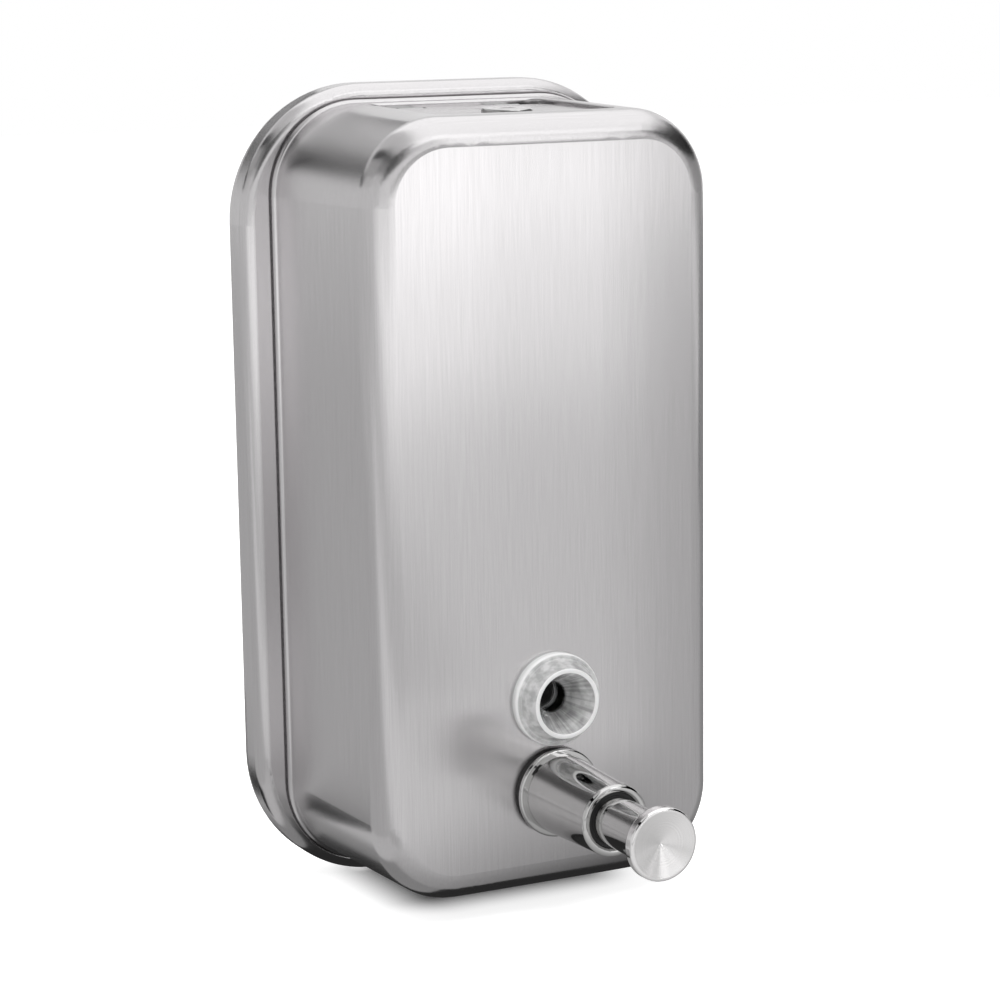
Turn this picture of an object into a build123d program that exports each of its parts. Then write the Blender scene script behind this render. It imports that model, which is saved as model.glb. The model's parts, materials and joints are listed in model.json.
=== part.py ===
"""Wall mounted liquid soap dispenser: a stainless tank with a push pump, a sight glass and a locking lid.

Millimetres. +X is right as seen from the front, +Z is up, and the wall is the plane Y = 0.
The dispenser stands out from the wall towards -Y, so a depth below is a distance from the wall, -Y.
The origin is on the wall, at the centre of the wall plate's four screw holes.
"""

from build123d import *

import math
import os

# Drawn stainless shells
SHEET = 1.0  # thickness of the stainless sheet
WALL_GAP = 0.5  # air between the wall and the back shell
BACK_W = 116.0  # back shell, width
BACK_H = 210.0  # back shell, height
BACK_R = 35.0  # back shell, corner radius seen from the front
BACK_D = 15.5  # depth of the back shell's shoulder
BACK_EDGE_R = 7.0  # outside radius where the back turns into the sides
SHOULDER_R = 3.3  # outside radius where the sides turn into the shoulder
SHOULDER_SIDE = 8.5  # the front shell stands this far in from the back shell at the sides
SHOULDER_END = 5.0  # and this far at the top and bottom
FRONT_R = 23.0  # front shell, corner radius at the shoulder
FRONT_EDGE_R = 7.5  # outside radius round the front face
FRONT_TAPER = 1.8  # each side of the front shell draws in by this much towards its face
CROWN_FLAT = 30.0  # flat middle of the front face, across
CROWN_R = 300.0  # beyond it the face turns back gently to the sides
TANK_D = 71.5  # depth of the front face
TANK_DROP = 30.0  # the tank's centre lies this far below the wall plate's centre
WELD_FLANGE = 2.0  # front shell's outward flange, inside the back shell's shoulder
SEAM_GAP = 0.8  # groove between the shoulder and the front shell
WELD_PLAY = 0.2  # weld flange, clear of the shoulder's bend
BEAD_R = 0.9  # half-round bead round the front shell, in front of the seam
PRESSED_EDGE = 0.7  # pressed edges are rounded by this share of the sheet

# Wall plate and hanger
PLATE_W = 56.0
PLATE_H = 64.0
PLATE_R = 5.0  # plate, corner radius
PLATE_T = 1.5
SCREW_R = 2.5  # screw holes
SCREW_DX = 40.0  # screw holes, spacing across
SCREW_DZ = 44.0  # screw holes, spacing up
TONGUE_W = 24.0  # upturned tongue that the tank hangs on
TONGUE_H = 14.0
TONGUE_Z = 6.0  # root of the tongue above the plate's centre
STRAP_T = 1.2  # hanger strap welded to the back shell
STRAP_H = 12.0
STRAP_FOOT = 8.0
STRAP_PLAY = 0.5  # clearance between the strap and the plate or the tongue
LIFT = 16.0  # the tank lifts this far to come off the tongue
RECESS_D = 8.0  # depth of the recess in the back shell
RECESS_R = 6.0  # recess, corner radius
RECESS_CLEAR = 3.0  # clearance round the wall plate

# Filler pocket, lid and hinge in the top of the front shell
POCKET_DEPTH = 6.2
POCKET_R = 4.0  # pocket, corner radius
POCKET_LAND = 1.5  # flat left between the pocket and the shell's bends
LID_T = 1.2
LID_SINK = 1.2  # the lid lies this far below the rim of its pocket
LID_PLAY = 0.5
LID_EDGE_R = 0.4  # rounding of the lid's and the lock's upper edges
KNUCKLE_L = 20.0  # middle knuckle, on the lid
LEAF_T = 1.0  # hinge leaf welded in the pocket
LEAF_KNUCKLE_L = 7.0
HINGE_PLAY = 0.4  # between knuckles, and round them
PIN_R = 1.1
RUNNING = 0.04  # radial clearance of a running fit
SEAL_W = 3.2  # width of the lid's rubber seal

# Lid lock
LOCK_HEAD_R = 6.5
LOCK_HEAD_T = 1.2
LOCK_BARREL_R = 4.8
LOCK_PLUG_R = 3.2
LOCK_NUT_FLATS = 13.0
LOCK_NUT_T = 2.6
KEY_SLOT_W = 1.1
KEY_SLOT_L = 4.2
KEY_SLOT_D = 3.0
CAM_T = 1.5
CAM_W = 7.0
CAM_LAP = 3.2  # the turned cam reaches this far under the edge of the filler hole
CAM_PLAY = 0.4
CAM_STEM_R = 2.0
CAM_SCREW_R = 3.0
CAM_SCREW_T = 1.6

# Sight glass, low on the front face
SIGHT_RISE = 51.7  # centre above the bottom of the front shell
SIGHT_SHANK_R = 8.9
SIGHT_FLANGE_R = 12.0
SIGHT_FLANGE_T = 1.8
SIGHT_TAIL = 2.0  # shank behind the boss
SIGHT_BASE_R = 10.7  # raised window, where it leaves the flange
SIGHT_TIP_R = 8.95  # raised window, at its front
SIGHT_STEP = 4.6  # raised window, height above the flange
SIGHT_RIM_R = 0.5  # half-round rim of the window
SIGHT_WELL_R = 3.8  # well at the bottom of the window's hollow cone
SIGHT_CONE_D = 9.0  # depth of the hollow cone
SIGHT_END_T = 1.6  # closed end of the well
SIGHT_GASKET_T = 0.8
BOSS_L = 6.0  # threaded bosses welded inside the front wall
BOSS_WALL = 2.4
THREAD_PLAY = 0.1

# Pump, below the sight glass
PUMP_RISE = 27.5  # axis above the bottom of the front shell
PUMP_GASKET_R = 10.5
PUMP_GASKET_T = 1.5
PUMP_GASKET_EDGE_R = 0.4
PUMP_FLANGE_R = 11.45
PUMP_FLANGE_T = 1.4
PUMP_FLANGE_EDGE_R = 0.55
CONE_BASE_R = 10.2
CONE_TIP_R = 9.1
CONE_L = 28.5  # from the flange to the mouth
CONE_LIP_R = 1.0  # rounding of the mouth's lip
MOUTH_R = 6.95  # bore at the mouth, for the bush
CONE_BORE_R = 7.6  # wider bore behind it
TAIL_R = 9.4  # threaded tail, through the front wall
TAIL_L = 9.0
SPOUT_R = 2.4  # outlet under the cone
BUSH_L = 5.2  # guide bush in the mouth
BUSH_INSET = 0.8
ROD_SEAL_L = 2.4
ROD_R = 6.25
ROD_SHOWN = 20.0  # rod between the mouth and the button at rest
STROKE = 15.0
BUTTON_R = 9.1
BUTTON_T = 3.1
BUTTON_EDGE_R = 0.7
BUTTON_DISH_R = 8.2  # hollow cone in the button's face
BUTTON_DISH_D = 1.9
STUD_R = 3.0  # rod's end in the button
STUD_L = 0.8
BARREL_R = 9.2
BARREL_BORE_R = 6.6
BARREL_SPIGOT_L = 6.5  # inside the cone's tail
BARREL_L = 36.0  # behind the tail
PISTON_L = 8.0
PISTON_PLAY = 0.15
PISTON_SEAL_L = 2.4
PISTON_SEAL_D = 1.5  # depth of the seal's groove
PISTON_BACK = 3.0  # the piston's front face behind the barrel's mouth at rest
NECK_R = 4.4  # piston's neck, in the rod's socket
NECK_SOCKET_L = 6.0
NECK_OPEN_L = 5.0  # bare neck between the piston and the rod
NECK_HOLE_R = 1.5  # cross hole in the bare neck
BALL_R = 2.3  # check balls
BALL_LIFT = 1.5
BALL_PLAY = 0.5
SEAT_PLAY = 0.1  # a resting ball clears its port and its stop by this much
PORT_R = 1.7  # port that a check ball closes
STOP_R = 1.1  # nose of the rod that stops the outlet ball
SPRING_R = 4.9  # return spring, mean radius
SPRING_WIRE_R = 0.45
SPRING_TURNS = 8
SPRING_DEAD_GAP = 0.5  # between the wires of each closed end turn
SPRING_PLAY = 0.1
CAP_R = 10.4  # inlet cap, screwed on the barrel's end
CAP_LAP = 7.0
CAP_WALL = 1.0
CAP_END_T = 6.0
CAGE_T = 1.2  # disc that keeps the inlet ball in and seats the spring
CAGE_PORTS = 3
CAGE_PORT_R = 1.3

# Places that follow from the sizes above
FRONT_W = BACK_W - 2 * SHOULDER_SIDE
FRONT_H = BACK_H - 2 * SHOULDER_END
TAPER_ANGLE = math.degrees(math.atan2(FRONT_TAPER, TANK_D - BACK_D))
TANK_Z = -TANK_DROP
TOP = TANK_Z + FRONT_H / 2  # top of the front shell at the shoulder
BOTTOM = TANK_Z - FRONT_H / 2
INNER_D = TANK_D - SHEET  # inside of the front wall
FLANGE_D = BACK_D - SHEET  # inside of the shoulder, where the weld flange lies
SIGHT_Z = BOTTOM + SIGHT_RISE
PUMP_Z = BOTTOM + PUMP_RISE

STRAP_D = PLATE_T + STRAP_PLAY
TONGUE_D = STRAP_D + STRAP_T + STRAP_PLAY
RECESS_FLOOR = WALL_GAP + RECESS_D
RECESS_W = PLATE_W + 2 * RECESS_CLEAR
RECESS_LOW = -PLATE_H / 2 - LIFT - RECESS_CLEAR
RECESS_HIGH = PLATE_H / 2 + RECESS_CLEAR

FLOOR_Z = TOP - POCKET_DEPTH  # top of the pocket's floor
POCKET_W = FRONT_W - 2 * (FRONT_R + POCKET_LAND)
POCKET_REAR = BACK_D + 2 * BEAD_R + POCKET_LAND
POCKET_FRONT = TANK_D - FRONT_EDGE_R - POCKET_LAND
KNUCKLE_R = PIN_R + RUNNING + LID_T
HINGE_D = POCKET_REAR + LEAF_T + KNUCKLE_R + HINGE_PLAY
LID_TOP = TOP - LID_SINK
HINGE_Z = LID_TOP - KNUCKLE_R
SEAL_REAR = HINGE_D + KNUCKLE_R + 2 * HINGE_PLAY
SEAL_FRONT = POCKET_FRONT - 2 * LID_PLAY
SEAL_OUT_W = POCKET_W - 4 * LID_PLAY
HOLE_REAR = SEAL_REAR + SEAL_W + LID_PLAY
HOLE_FRONT = SEAL_FRONT - SEAL_W - LID_PLAY
HOLE_W = SEAL_OUT_W - 2 * (SEAL_W + LID_PLAY)
HOLE_R = max(POCKET_R - SEAL_W, 0.5)
LOCK_NUT_CORNER = LOCK_NUT_FLATS / math.sqrt(3)
LOCK_D = HOLE_FRONT - LOCK_NUT_CORNER - LID_PLAY
LID_UNDER = LID_TOP - LID_T
CAM_Z = FLOOR_Z - SHEET - CAM_PLAY  # top of the cam
CAM_REACH = HOLE_FRONT - LOCK_D + CAM_LAP

SIGHT_SEAT = TANK_D + SIGHT_GASKET_T
SIGHT_TIP = SIGHT_SEAT + SIGHT_FLANGE_T + SIGHT_STEP
PUMP_SEAT = TANK_D + PUMP_GASKET_T
CONE_FOOT = PUMP_SEAT + PUMP_FLANGE_T
MOUTH = CONE_FOOT + CONE_L
TAIL_END = TANK_D - TAIL_L
BUSH_FRONT = MOUTH - BUSH_INSET
BUSH_BACK = BUSH_FRONT - BUSH_L
SPOUT_D = BUSH_BACK - ROD_SEAL_L - SPOUT_R  # outlet, close behind the rod's seal
BUTTON_BACK = MOUTH + ROD_SHOWN
BARREL_MOUTH = TAIL_END + BARREL_SPIGOT_L
BARREL_END = TAIL_END - BARREL_L
PISTON_FRONT = BARREL_MOUTH - PISTON_BACK
PISTON_REAR = PISTON_FRONT - PISTON_L
ROD_END = PISTON_FRONT + NECK_OPEN_L
CHAMBER_R = BALL_R + BALL_PLAY  # bore that a check ball runs in
SEAT_RISE = math.sqrt(BALL_R**2 - PORT_R**2)  # ball's centre in front of its port's edge
OUTLET_PORT = PISTON_FRONT - PISTON_L + SPRING_WIRE_R * 4
OUTLET_BALL_D = OUTLET_PORT + SEAT_RISE + SEAT_PLAY
CAP_END = BARREL_END - CAP_END_T
CAGE_D = BARREL_END + CAGE_T  # front of the cage
INLET_BALL_D = BARREL_END - SEAT_PLAY - BALL_LIFT - BALL_R
INLET_PORT = INLET_BALL_D - SEAT_RISE - SEAT_PLAY


def slab(width, height, corner, near, far, z=TANK_Z):
    """A plate with rounded corners, between two depths from the wall."""
    face = Plane.XZ.offset(near) * (Pos(0, z) * RectangleRounded(width, height, corner))
    return extrude(face, far - near)


def block(width, near, far, low, high, x=0.0):
    """A square-edged bar between two depths and two heights."""
    centre = Pos(x, -(near + far) / 2, (low + high) / 2)
    return centre * Box(width, far - near, high - low)


def top_plate(width, near, far, corner, low, high):
    """A level plate with rounded corners, between two depths and two heights."""
    face = Pos(0, -(near + far) / 2, low) * RectangleRounded(width, far - near, corner)
    return extrude(face, high - low)


def rounded_outline(points, rounds):
    """A closed outline with some corners rounded; rounds maps a point's place in the list to a radius."""
    face = make_face(Polyline(points, close=True))
    for place, radius in rounds.items():
        corner = face.vertices().sort_by_distance(Vector(*points[place]))[0]
        face = fillet(corner, radius)
    return face


def turned(points, z, rounds=None):
    """A piece turned about a front-to-back axis; points are (depth, radius)."""
    outline = rounded_outline([(radius, -depth) for depth, radius in points], rounds or {})
    return Pos(0, 0, z) * revolve(outline, Axis.Y)


def upright(points, depth, rounds=None):
    """A piece turned about a vertical axis; points are (height, radius)."""
    outline = rounded_outline([(radius, height) for height, radius in points], rounds or {})
    return Pos(0, -depth, 0) * revolve(Plane.XZ * outline, Axis.Z)


def tube(inner, outer, near, far, z):
    """A plain ring about a front-to-back axis."""
    return turned([(near, inner), (near, outer), (far, outer), (far, inner)], z)


def ball(depth):
    return Pos(0, -depth, PUMP_Z) * Sphere(BALL_R)


def rod_across(radius, depth, z, length):
    """A round bar along X."""
    return Pos(0, -depth, z) * Rot(0, 90, 0) * Cylinder(radius, length)


def deck():
    """The front shell's tapered top: what is drawn level at its rear edge is tilted to lie along it."""
    hinge_line = Pos(0, -BACK_D, TOP)
    return hinge_line * Rot(TAPER_ANGLE, 0, 0) * hinge_line.inverse()


def front_edges(solid):
    return solid.faces().sort_by(Axis.Y)[0].edges()


def rear_edges(solid):
    return solid.faces().sort_by(Axis.Y)[-1].edges()


# Shells

def crown(inset):
    """A bar as tall as the tank whose front is the face's own plan: flat, then turned back on both sides."""
    front = inset - TANK_D
    half = CROWN_FLAT / 2
    radius = CROWN_R - inset
    turn = math.degrees(math.asin((FRONT_W / 2 - half) / radius))
    right = JernArc(start=(half, front), tangent=(1, 0), radius=radius, arc_size=turn)
    left = JernArc(start=(-half, front), tangent=(-1, 0), radius=radius, arc_size=-turn)
    corners = [right @ 1, ((right @ 1).X, 0), ((left @ 1).X, 0), left @ 1]
    plan = make_face([Line((-half, front), (half, front)), right, left, Polyline(*corners)])
    return extrude(Pos(0, 0, BOTTOM - SHEET) * plan, FRONT_H + 2 * SHEET)


def face_edges(solid):
    """The edges round a crowned front face, without the lines where its flat middle ends."""
    fronts = solid.faces().filter_by(lambda face: face.normal_at().Y < -0.9)
    return fronts.edges().filter_by(lambda edge: abs(abs(edge.center().X) - CROWN_FLAT / 2) > SHEET / 10)


def front_can(inset, near):
    """The front shell's form, drawn in by inset: straight behind the shoulder, tapered in front of it."""
    width = FRONT_W - 2 * inset
    height = FRONT_H - 2 * inset
    outline = Pos(0, TANK_Z) * RectangleRounded(width, height, FRONT_R - inset)
    nose = extrude(Plane.XZ.offset(BACK_D) * outline, TANK_D - inset - BACK_D, taper=TAPER_ANGLE)
    nose &= crown(inset)
    nose = fillet(face_edges(nose), FRONT_EDGE_R - inset)
    return nose + slab(width, height, FRONT_R - inset, near, BACK_D)


def pocket(margin, low, high):
    """The filler pocket's outline, grown by margin."""
    width = POCKET_W + 2 * margin
    return top_plate(width, POCKET_REAR - margin, POCKET_FRONT + margin, POCKET_R + margin, low, high)


def seam_bead():
    """Half-round bead round the front shell, just in front of the shoulder."""
    reach = FRONT_W + 2 * BEAD_R
    bead = slab(reach, FRONT_H + 2 * BEAD_R, FRONT_R + BEAD_R, BACK_D, BACK_D + 2 * BEAD_R)
    soft = BEAD_R * 0.98
    return fillet(front_edges(bead) + rear_edges(bead), soft)


def weld_flange(near):
    """Rim of the front shell, kept inside the flat of the back shell's shoulder."""
    reach = 2 * WELD_FLANGE
    rim = slab(FRONT_W + reach, FRONT_H + reach, FRONT_R + WELD_FLANGE, near, FLANGE_D)
    bend = SHOULDER_R + WELD_PLAY
    return rim & slab(BACK_W - 2 * bend, BACK_H - 2 * bend, BACK_R - bend, near, FLANGE_D)


def press_rim(face):
    """Round the edge of the pressed opening in one flat face."""
    return fillet(face.inner_wires()[0].edges(), PRESSED_EDGE * SHEET)


def front_shell():
    root = FLANGE_D - SHEET
    shell = front_can(0, root) + seam_bead() + weld_flange(root)
    shell -= front_can(SHEET, root)
    shell += deck() * pocket(SHEET, FLOOR_Z - SHEET, TOP - SHEET / 2)
    shell -= deck() * pocket(0, FLOOR_Z, TOP + SHEET)
    upper = shell.faces().filter_by_position(Axis.Z, FLOOR_Z + POCKET_DEPTH / 2, TOP + SHEET)
    shell = press_rim(upper.filter_by(GeomType.PLANE).sort_by(SortBy.AREA)[-1])
    floor = FLOOR_Z - SHEET
    shell -= deck() * top_plate(HOLE_W, HOLE_REAR, HOLE_FRONT, HOLE_R, floor - SHEET, FLOOR_Z + SHEET)
    for radius, z in ((SIGHT_SHANK_R, SIGHT_Z), (TAIL_R, PUMP_Z)):
        shell -= turned([(INNER_D - SHEET, 0), (INNER_D - SHEET, radius + 2 * THREAD_PLAY),
                         (TANK_D + SHEET, radius + 2 * THREAD_PLAY), (TANK_D + SHEET, 0)], z)
    return shell


def back_pan(inset):
    pan = slab(
        BACK_W - 2 * inset, BACK_H - 2 * inset, BACK_R - inset, WALL_GAP + inset, BACK_D - inset
    )
    pan = fillet(rear_edges(pan), BACK_EDGE_R - inset)
    return fillet(front_edges(pan), SHOULDER_R - inset)


def recess(margin, near, far):
    """The recess that the wall plate stands in, grown by margin."""
    middle = (RECESS_LOW + RECESS_HIGH) / 2
    height = RECESS_HIGH - RECESS_LOW + 2 * margin
    return slab(RECESS_W + 2 * margin, height, RECESS_R + margin, near, far, middle)


def back_shell():
    mouth = SEAM_GAP * 2
    shell = back_pan(0) - back_pan(SHEET)
    shell -= slab(
        FRONT_W + mouth, FRONT_H + mouth, FRONT_R + SEAM_GAP, FLANGE_D - SHEET, BACK_D + SHEET
    )
    shell = press_rim(shell.faces().sort_by(Axis.Y)[0])
    shell += recess(SHEET, WALL_GAP, RECESS_FLOOR + SHEET)
    shell -= recess(0, WALL_GAP - SHEET, RECESS_FLOOR)
    return press_rim(shell.faces().sort_by(Axis.Y)[-1])


# Wall plate and hanger

def wall_plate():
    """Flat plate with four screw holes; a tongue stands off it and points up."""
    plate = slab(PLATE_W, PLATE_H, PLATE_R, 0, PLATE_T, 0)
    window_w = TONGUE_W + 2 * STRAP_PLAY
    tip = TONGUE_Z + TONGUE_H
    plate -= block(window_w, -PLATE_T, 2 * PLATE_T, TONGUE_Z, tip + STRAP_PLAY)
    for x in (-SCREW_DX / 2, SCREW_DX / 2):
        for z in (-SCREW_DZ / 2, SCREW_DZ / 2):
            plate -= Pos(x, -PLATE_T / 2, z) * Rot(90, 0, 0) * Cylinder(SCREW_R, 3 * PLATE_T)
    front = TONGUE_D + PLATE_T
    middle = TONGUE_Z + TONGUE_H / 2
    plate += block(TONGUE_W, 0, front, TONGUE_Z - PLATE_T, TONGUE_Z)
    plate += slab(TONGUE_W, TONGUE_H, PLATE_T, TONGUE_D, front, middle)
    return plate + block(TONGUE_W, TONGUE_D, front, TONGUE_Z, middle)


def hanger_strap():
    """Bridge welded in the recess: it drops over the tongue and rests on the tongue's root."""
    span = TONGUE_W + 4 * STRAP_PLAY + 2 * STRAP_T
    leg_x = (span - STRAP_T) / 2
    high = TONGUE_Z + STRAP_H
    strap = block(span, STRAP_D, STRAP_D + STRAP_T, TONGUE_Z, high)
    for side in (-1, 1):
        strap += block(STRAP_T, STRAP_D, RECESS_FLOOR, TONGUE_Z, high, side * leg_x)
        foot_x = side * (span + STRAP_FOOT) / 2
        strap += block(STRAP_FOOT, RECESS_FLOOR - STRAP_T, RECESS_FLOOR, TONGUE_Z, high, foot_x)
    return strap


# Filler lid, hinge and lock

def hinge_leaf():
    """Strip welded to the pocket's rear wall, with a knuckle at each end of the lid's own."""
    knuckle_x = KNUCKLE_L / 2 + HINGE_PLAY + LEAF_KNUCKLE_L / 2
    width = 2 * knuckle_x + LEAF_KNUCKLE_L
    leaf = block(width, POCKET_REAR, POCKET_REAR + LEAF_T, FLOOR_Z, HINGE_Z + PIN_R)
    for side in (-1, 1):
        at = Pos(side * knuckle_x, 0, 0)
        leaf += at * block(LEAF_KNUCKLE_L, POCKET_REAR, HINGE_D, HINGE_Z - KNUCKLE_R, HINGE_Z - PIN_R)
        leaf += at * rod_across(KNUCKLE_R, HINGE_D, HINGE_Z, LEAF_KNUCKLE_L)
    return leaf - rod_across(PIN_R, HINGE_D, HINGE_Z, 2 * width)


def hinge_pin():
    length = KNUCKLE_L + 2 * (HINGE_PLAY + LEAF_KNUCKLE_L)
    return rod_across(PIN_R, HINGE_D, HINGE_Z, length)


def filler_lid():
    """Plate a little below the pocket's rim, whose rear edge is curled round the hinge pin."""
    bare = HINGE_D + KNUCKLE_R + HINGE_PLAY
    width = POCKET_W - 2 * LID_PLAY
    corner = POCKET_R - LID_PLAY
    lid = top_plate(width, bare, POCKET_FRONT - LID_PLAY, corner, LID_UNDER, LID_TOP)
    lid = fillet(lid.faces().sort_by(Axis.Z)[-1].edges(), LID_EDGE_R)
    lid += block(KNUCKLE_L, HINGE_D, bare + corner, LID_UNDER, LID_TOP)
    lid += rod_across(KNUCKLE_R, HINGE_D, HINGE_Z, KNUCKLE_L)
    lid -= rod_across(PIN_R + RUNNING, HINGE_D, HINGE_Z, 2 * KNUCKLE_L)
    hole = Pos(0, -LOCK_D, LID_TOP) * Cylinder(LOCK_BARREL_R + THREAD_PLAY, 4 * LID_T)
    return lid - hole


def lid_seal():
    """Rubber ring under the lid, on the pocket's floor round the filler hole."""
    inner_r = max(POCKET_R - SEAL_W, 0.5)
    ring = top_plate(SEAL_OUT_W, SEAL_REAR, SEAL_FRONT, POCKET_R - LID_PLAY, FLOOR_Z, LID_UNDER)
    inside_w = SEAL_OUT_W - 2 * SEAL_W
    inside = top_plate(inside_w, SEAL_REAR + SEAL_W, SEAL_FRONT - SEAL_W, inner_r, FLOOR_Z, LID_UNDER)
    return ring - inside


def lock_body():
    bore = LOCK_PLUG_R + RUNNING
    end = CAM_Z + CAM_PLAY / 2
    face = LID_TOP + LOCK_HEAD_T
    return upright(
        [(end, bore), (end, LOCK_BARREL_R), (LID_TOP, LOCK_BARREL_R), (LID_TOP, LOCK_HEAD_R),
         (face, LOCK_HEAD_R), (face, bore)], LOCK_D, {4: LID_EDGE_R}
    )


def lock_nut():
    nut = Pos(0, -LOCK_D, LID_UNDER - LOCK_NUT_T) * RegularPolygon(LOCK_NUT_CORNER, 6)
    bore = Pos(0, -LOCK_D, LID_UNDER) * Cylinder(LOCK_BARREL_R + THREAD_PLAY, 3 * LOCK_NUT_T)
    return extrude(nut, LOCK_NUT_T) - bore


def lock_plug():
    """Turning core with a key slot; its stem carries the cam."""
    face = LID_TOP + LOCK_HEAD_T
    low = CAM_Z - CAM_T
    plug = upright(
        [(low, 0), (low, CAM_STEM_R), (CAM_Z, CAM_STEM_R), (CAM_Z, LOCK_PLUG_R), (face, LOCK_PLUG_R),
         (face, 0)], LOCK_D
    )
    return plug - Pos(0, -LOCK_D, face) * Box(KEY_SLOT_L, KEY_SLOT_W, 2 * KEY_SLOT_D)


def lock_cam():
    """Tongue that points sideways when open, and swings under the filler hole's front edge when locked."""
    cam = extrude(Pos(0, -LOCK_D, CAM_Z - CAM_T) * Circle(CAM_W / 2), CAM_T)
    long = CAM_REACH - CAM_W / 2
    cam += Pos(long / 2, -LOCK_D, CAM_Z - CAM_T / 2) * Box(long, CAM_W, CAM_T)
    cam += extrude(Pos(long, -LOCK_D, CAM_Z - CAM_T) * Circle(CAM_W / 2), CAM_T)
    return cam - Pos(0, -LOCK_D, CAM_Z) * Cylinder(CAM_STEM_R, 4 * CAM_T)


def cam_screw():
    low = CAM_Z - CAM_T
    return extrude(Pos(0, -LOCK_D, low) * Circle(CAM_SCREW_R), -CAM_SCREW_T)


# Sight glass

def boss(thread_r, z):
    """Threaded bush welded to the inside of the front wall."""
    return tube(thread_r + THREAD_PLAY, thread_r + BOSS_WALL, INNER_D - BOSS_L, INNER_D, z)


def sight_glass():
    """Clear plug: a flange, a raised window with a half-round rim, and a hollow cone with a closed well."""
    end = INNER_D - BOSS_L - SIGHT_TAIL
    step = SIGHT_SEAT + SIGHT_FLANGE_T
    mouth_r = SIGHT_TIP_R - 2 * SIGHT_RIM_R
    points = [
        (end, 0), (end, SIGHT_SHANK_R), (SIGHT_SEAT, SIGHT_SHANK_R), (SIGHT_SEAT, SIGHT_FLANGE_R),
        (step, SIGHT_FLANGE_R), (step, SIGHT_BASE_R), (SIGHT_TIP, SIGHT_TIP_R), (SIGHT_TIP, mouth_r),
        (SIGHT_TIP - SIGHT_CONE_D, SIGHT_WELL_R), (end + SIGHT_END_T, SIGHT_WELL_R),
        (end + SIGHT_END_T, 0),
    ]
    soft = 0.8 * SIGHT_RIM_R
    return turned(points, SIGHT_Z, {4: SIGHT_FLANGE_T / 2, 6: soft, 7: soft})


# Pump

def pump_gasket():
    """Rubber ring between the front wall and the cone's flange."""
    bore = TAIL_R + THREAD_PLAY
    points = [(TANK_D, bore), (TANK_D, PUMP_GASKET_R), (PUMP_SEAT, PUMP_GASKET_R), (PUMP_SEAT, bore)]
    return turned(points, PUMP_Z, {2: PUMP_GASKET_EDGE_R})


def pump_cone():
    """Chromed housing: flange, tapered nose, and a threaded tail through the front wall."""
    points = [
        (TAIL_END, CONE_BORE_R), (TAIL_END, TAIL_R), (PUMP_SEAT, TAIL_R), (PUMP_SEAT, PUMP_FLANGE_R),
        (CONE_FOOT, PUMP_FLANGE_R), (CONE_FOOT, CONE_BASE_R), (MOUTH, CONE_TIP_R), (MOUTH, MOUTH_R),
        (BUSH_BACK, MOUTH_R), (BUSH_BACK, CONE_BORE_R),
    ]
    rounds = {3: PUMP_FLANGE_EDGE_R, 4: PUMP_FLANGE_EDGE_R, 6: CONE_LIP_R, 7: CONE_LIP_R}
    cone = turned(points, PUMP_Z, rounds)
    spout = Pos(0, -SPOUT_D, PUMP_Z - CONE_BASE_R) * Cylinder(SPOUT_R, CONE_BASE_R)
    return cone - spout


def guide_bush():
    return tube(ROD_R + RUNNING, MOUTH_R, BUSH_BACK, BUSH_FRONT, PUMP_Z)


def rod_seal():
    return tube(ROD_R + RUNNING, CONE_BORE_R, BUSH_BACK - ROD_SEAL_L, BUSH_BACK, PUMP_Z)


def push_button():
    front = BUTTON_BACK + BUTTON_T
    points = [(BUTTON_BACK, STUD_R), (BUTTON_BACK, BUTTON_R), (front, BUTTON_R), (front, BUTTON_DISH_R),
              (front - BUTTON_DISH_D, 0), (BUTTON_BACK + STUD_L, 0), (BUTTON_BACK + STUD_L, STUD_R)]
    return turned(points, PUMP_Z, {1: BUTTON_EDGE_R, 2: BUTTON_EDGE_R})


def plunger_rod():
    """Chromed rod: a stud for the button, a socket for the piston's neck, and a nose that stops the ball."""
    socket = ROD_END + NECK_SOCKET_L
    nose = OUTLET_BALL_D + BALL_R + BALL_LIFT + SEAT_PLAY
    return turned(
        [(nose, 0), (nose, STOP_R), (socket, STOP_R), (socket, NECK_R), (ROD_END, NECK_R),
         (ROD_END, ROD_R), (BUTTON_BACK, ROD_R), (BUTTON_BACK, STUD_R), (BUTTON_BACK + STUD_L, STUD_R),
         (BUTTON_BACK + STUD_L, 0)], PUMP_Z
    )


def piston():
    """Plastic piston with a seal groove; the soap leaves through its neck."""
    outer = BARREL_BORE_R - PISTON_PLAY
    groove = outer - PISTON_SEAL_D
    seal_far = (PISTON_FRONT + PISTON_REAR + PISTON_SEAL_L) / 2
    seal_near = seal_far - PISTON_SEAL_L
    neck_end = ROD_END + NECK_SOCKET_L
    body = turned(
        [(PISTON_REAR, PORT_R), (PISTON_REAR, outer), (seal_near, outer), (seal_near, groove),
         (seal_far, groove), (seal_far, outer), (PISTON_FRONT, outer), (PISTON_FRONT, NECK_R),
         (neck_end, NECK_R), (neck_end, CHAMBER_R), (OUTLET_PORT, CHAMBER_R), (OUTLET_PORT, PORT_R)],
        PUMP_Z
    )
    return body - rod_across(NECK_HOLE_R, PISTON_FRONT + NECK_OPEN_L / 2, PUMP_Z, 4 * NECK_R)


def piston_seal():
    outer = BARREL_BORE_R - RUNNING
    far = (PISTON_FRONT + PISTON_REAR + PISTON_SEAL_L) / 2
    return tube(BARREL_BORE_R - PISTON_PLAY - PISTON_SEAL_D, outer, far - PISTON_SEAL_L, far, PUMP_Z)


def pump_barrel():
    """Plastic cylinder, spigoted into the cone's tail and open at its back."""
    return turned(
        [(BARREL_END, BARREL_BORE_R), (BARREL_END, BARREL_R), (TAIL_END, BARREL_R),
         (TAIL_END, CONE_BORE_R), (BARREL_MOUTH, CONE_BORE_R), (BARREL_MOUTH, BARREL_BORE_R)], PUMP_Z
    )


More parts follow.
